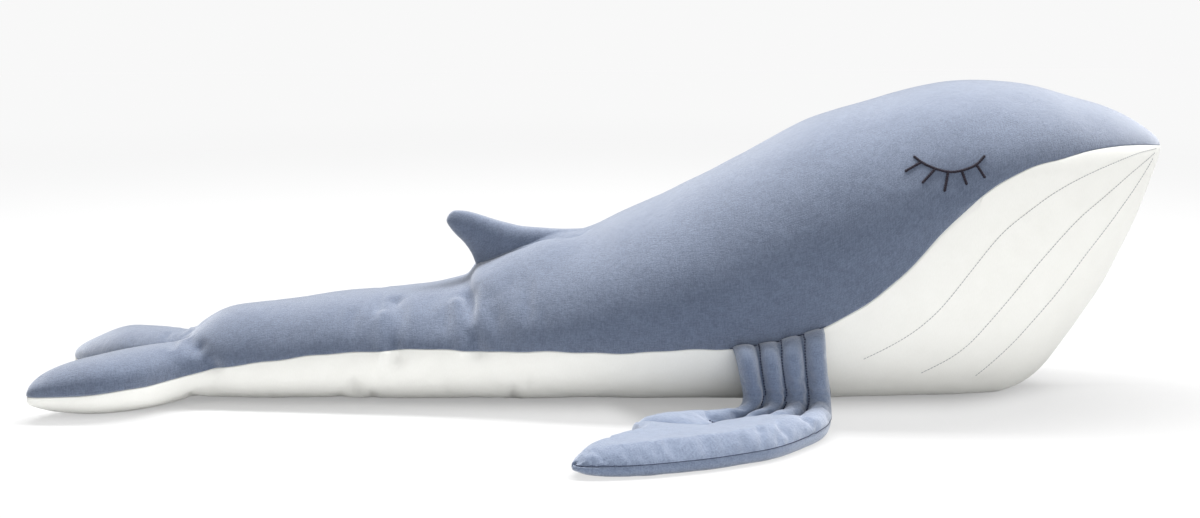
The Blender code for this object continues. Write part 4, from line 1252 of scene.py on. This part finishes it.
def dress_throat(surface):
    cloth = surface.tree()
    lines = []
    for side in SIDES.values():
        for stops in THROAT_SHARES:
            drawn = relaxed(line_through(stops, THROAT_STEP), THROAT_ROUNDS)
            places = [(LENGTH / 2 - behind * LENGTH, height * HEIGHT) for behind, height in drawn]
            lines.append(seen_from_side(cloth, places, side, THROAT_LIFT))
    behind = np.linspace(*THROAT_MIDDLE_SHARES, SEAM_SAMPLES)
    keel = skin(body_place(LENGTH / 2 - behind * LENGTH), 0.0, 1)
    lines.append(on_cloth(cloth, keel, THROAT_LIFT))
    piece = stitched("throat_stitches", lines, THROAT_STITCH, THROAT_THREAD)
    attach(piece, "body")


surfaces = body_surfaces()
dress_body(surfaces)
dress_fin()
for label, side in SIDES.items():
    upper, grid, places = dress_flipper(label, side)
    sew_flipper(label, side, upper, grid, places, surfaces[label])
    dress_eye(label, side, surfaces[label])
dress_throat(surfaces["white"])


# Stage: pale floor that runs out into a white backdrop, soft light, and the photograph's camera
FLOOR_REACH = 3.0
FLOOR_FADE = (1.0, 2.2)
FLOOR_COLOUR = (0.66, 0.66, 0.66)
# painted light that keeps the floor's shadows pale to the camera: its share, its least part under
# the whale, where the shadow shows darkest, and where it rises to full beside the body, sooner
# beside the head and on both sides of the flipper
FLOOR_PAINTED_LIGHT = 0.74
FLOOR_LEAST_OPEN = 0.46
FLOOR_OPEN = (0.085, 0.165)
FLIPPER_AHEAD, OFF_FLIPPER, OFF_FLIPPER_OPENS = 0.085, (0.04, 0.09), 0.060
HEAD_AHEAD, HEAD_OPENS = (0.30, 0.46), 0.08
BACKDROP = 0.94
SKY = 0.38
# place, size and power of each light, and where they point
LIGHTS = {
    "overhead softbox": ((0.05, 0.42, 1.9), (2.6, 0.40), 92.0),
    "front softbox": ((0.9, -2.2, 0.55), (2.4, 1.0), 21.5),
}
LIGHT_TARGET = (0, 0, 0.1)
CAMERA_TARGET = (-0.003, 0.0, 0.1235)
CAMERA_DISTANCE = 1.8
CAMERA_AZIMUTH = -2.5
CAMERA_ELEVATION = 11.0
CAMERA_LENS = 59.25
CAMERA_SENSOR = 36.0


def floor():
    mesh = bpy.data.meshes.new("floor")
    corners = np.array(((-1, -1, 0), (1, -1, 0), (1, 1, 0), (-1, 1, 0))) * FLOOR_REACH
    mesh.from_pydata(corners.tolist(), [], [(0, 1, 2, 3)])
    shader = Shader("floor")
    place = shader.place
    away = shader.node("ShaderNodeVectorMath", {"operation": "LENGTH"}, {0: place}, 1)
    look = shader.finish({
        "Base Color": (*FLOOR_COLOUR, 1),
        "Roughness": 0.9,
        "Specular IOR Level": 0.0,
        "Alpha": 1 - shader.within(away, *FLOOR_FADE),
    })
    rays = shader.node("ShaderNodeLightPath", {}, {})
    ahead, aside = (
        shader.node("ShaderNodeSeparateXYZ", {}, {0: place}, output) for output in (0, 1)
    )
    aside, off_flipper = (
        shader.node("ShaderNodeMath", {"operation": "ABSOLUTE"}, {0: value})
        for value in (aside, ahead - FLIPPER_AHEAD)
    )
    aside = aside + OFF_FLIPPER_OPENS * shader.within(off_flipper, *OFF_FLIPPER)
    aside = aside + HEAD_OPENS * shader.within(ahead, *HEAD_AHEAD)
    rest = 1 - FLOOR_LEAST_OPEN
    # the floor glows with painted light to the camera, less of it near the whale so its shadow
    # stays darker there
    share = rays * ((FLOOR_LEAST_OPEN + rest * shader.within(aside, *FLOOR_OPEN)) * FLOOR_PAINTED_LIGHT)
    painted_light = shader.node("ShaderNodeEmission", {}, {"Color": (*[BACKDROP] * 3, 1)})
    plain = Value(shader, shader.principled.outputs[0])
    seen = shader.node("ShaderNodeMixShader", {}, {0: share, 1: plain, 2: painted_light})
    shader.join(shader.tree.nodes["Material Output"], {0: seen})
    dressed("floor", mesh, look)


def aimed(name, data, place, way):
    """A light or camera at a place that looks one way."""
    made = placed(name, data)
    made.location = place
    made.rotation_mode = "QUATERNION"
    made.rotation_quaternion = way.to_track_quat("-Z", "Y")
    return made


def light(name, place, size, power):
    lamp = bpy.data.lights.new(name, "AREA")
    lamp.shape = "RECTANGLE"
    lamp.size, lamp.size_y = size
    lamp.energy = power
    aimed(name, lamp, place, Vector(LIGHT_TARGET) - Vector(place))


def world(seen, given):
    """White where the camera sees it, and a softer level as light."""
    made = bpy.data.worlds.new("studio")
    bpy.context.scene.world = made
    made.use_nodes = True
    nodes = Nodes(made.node_tree)
    straight, glossy, through = (
        nodes.node("ShaderNodeLightPath", {}, {}, f"Is {kind} Ray")
        for kind in ("Camera", "Glossy", "Transmission")
    )
    plain = straight.sum("MAXIMUM", glossy).sum("MAXIMUM", through)
    sockets = {"Value": plain, "To Min": given, "To Max": seen}
    level = nodes.node("ShaderNodeMapRange", {}, sockets)
    nodes.join(made.node_tree.nodes["Background"], {"Color": (1, 1, 1, 1), "Strength": level})


def camera():
    turn, rise = math.radians(CAMERA_AZIMUTH), math.radians(CAMERA_ELEVATION)
    flat = math.cos(rise)
    back = Vector((math.sin(turn) * flat, -math.cos(turn) * flat, math.sin(rise)))
    data = bpy.data.cameras.new("camera")
    data.lens, data.sensor_width = CAMERA_LENS, CAMERA_SENSOR
    place = Vector(CAMERA_TARGET) + back * CAMERA_DISTANCE
    bpy.context.scene.camera = aimed("camera", data, place, -back)


floor()
for name, (place, size, power) in LIGHTS.items():
    light(name, place, size, power)
world(BACKDROP, SKY)
camera()
bpy.context.scene.view_settings.view_transform = "Standard"
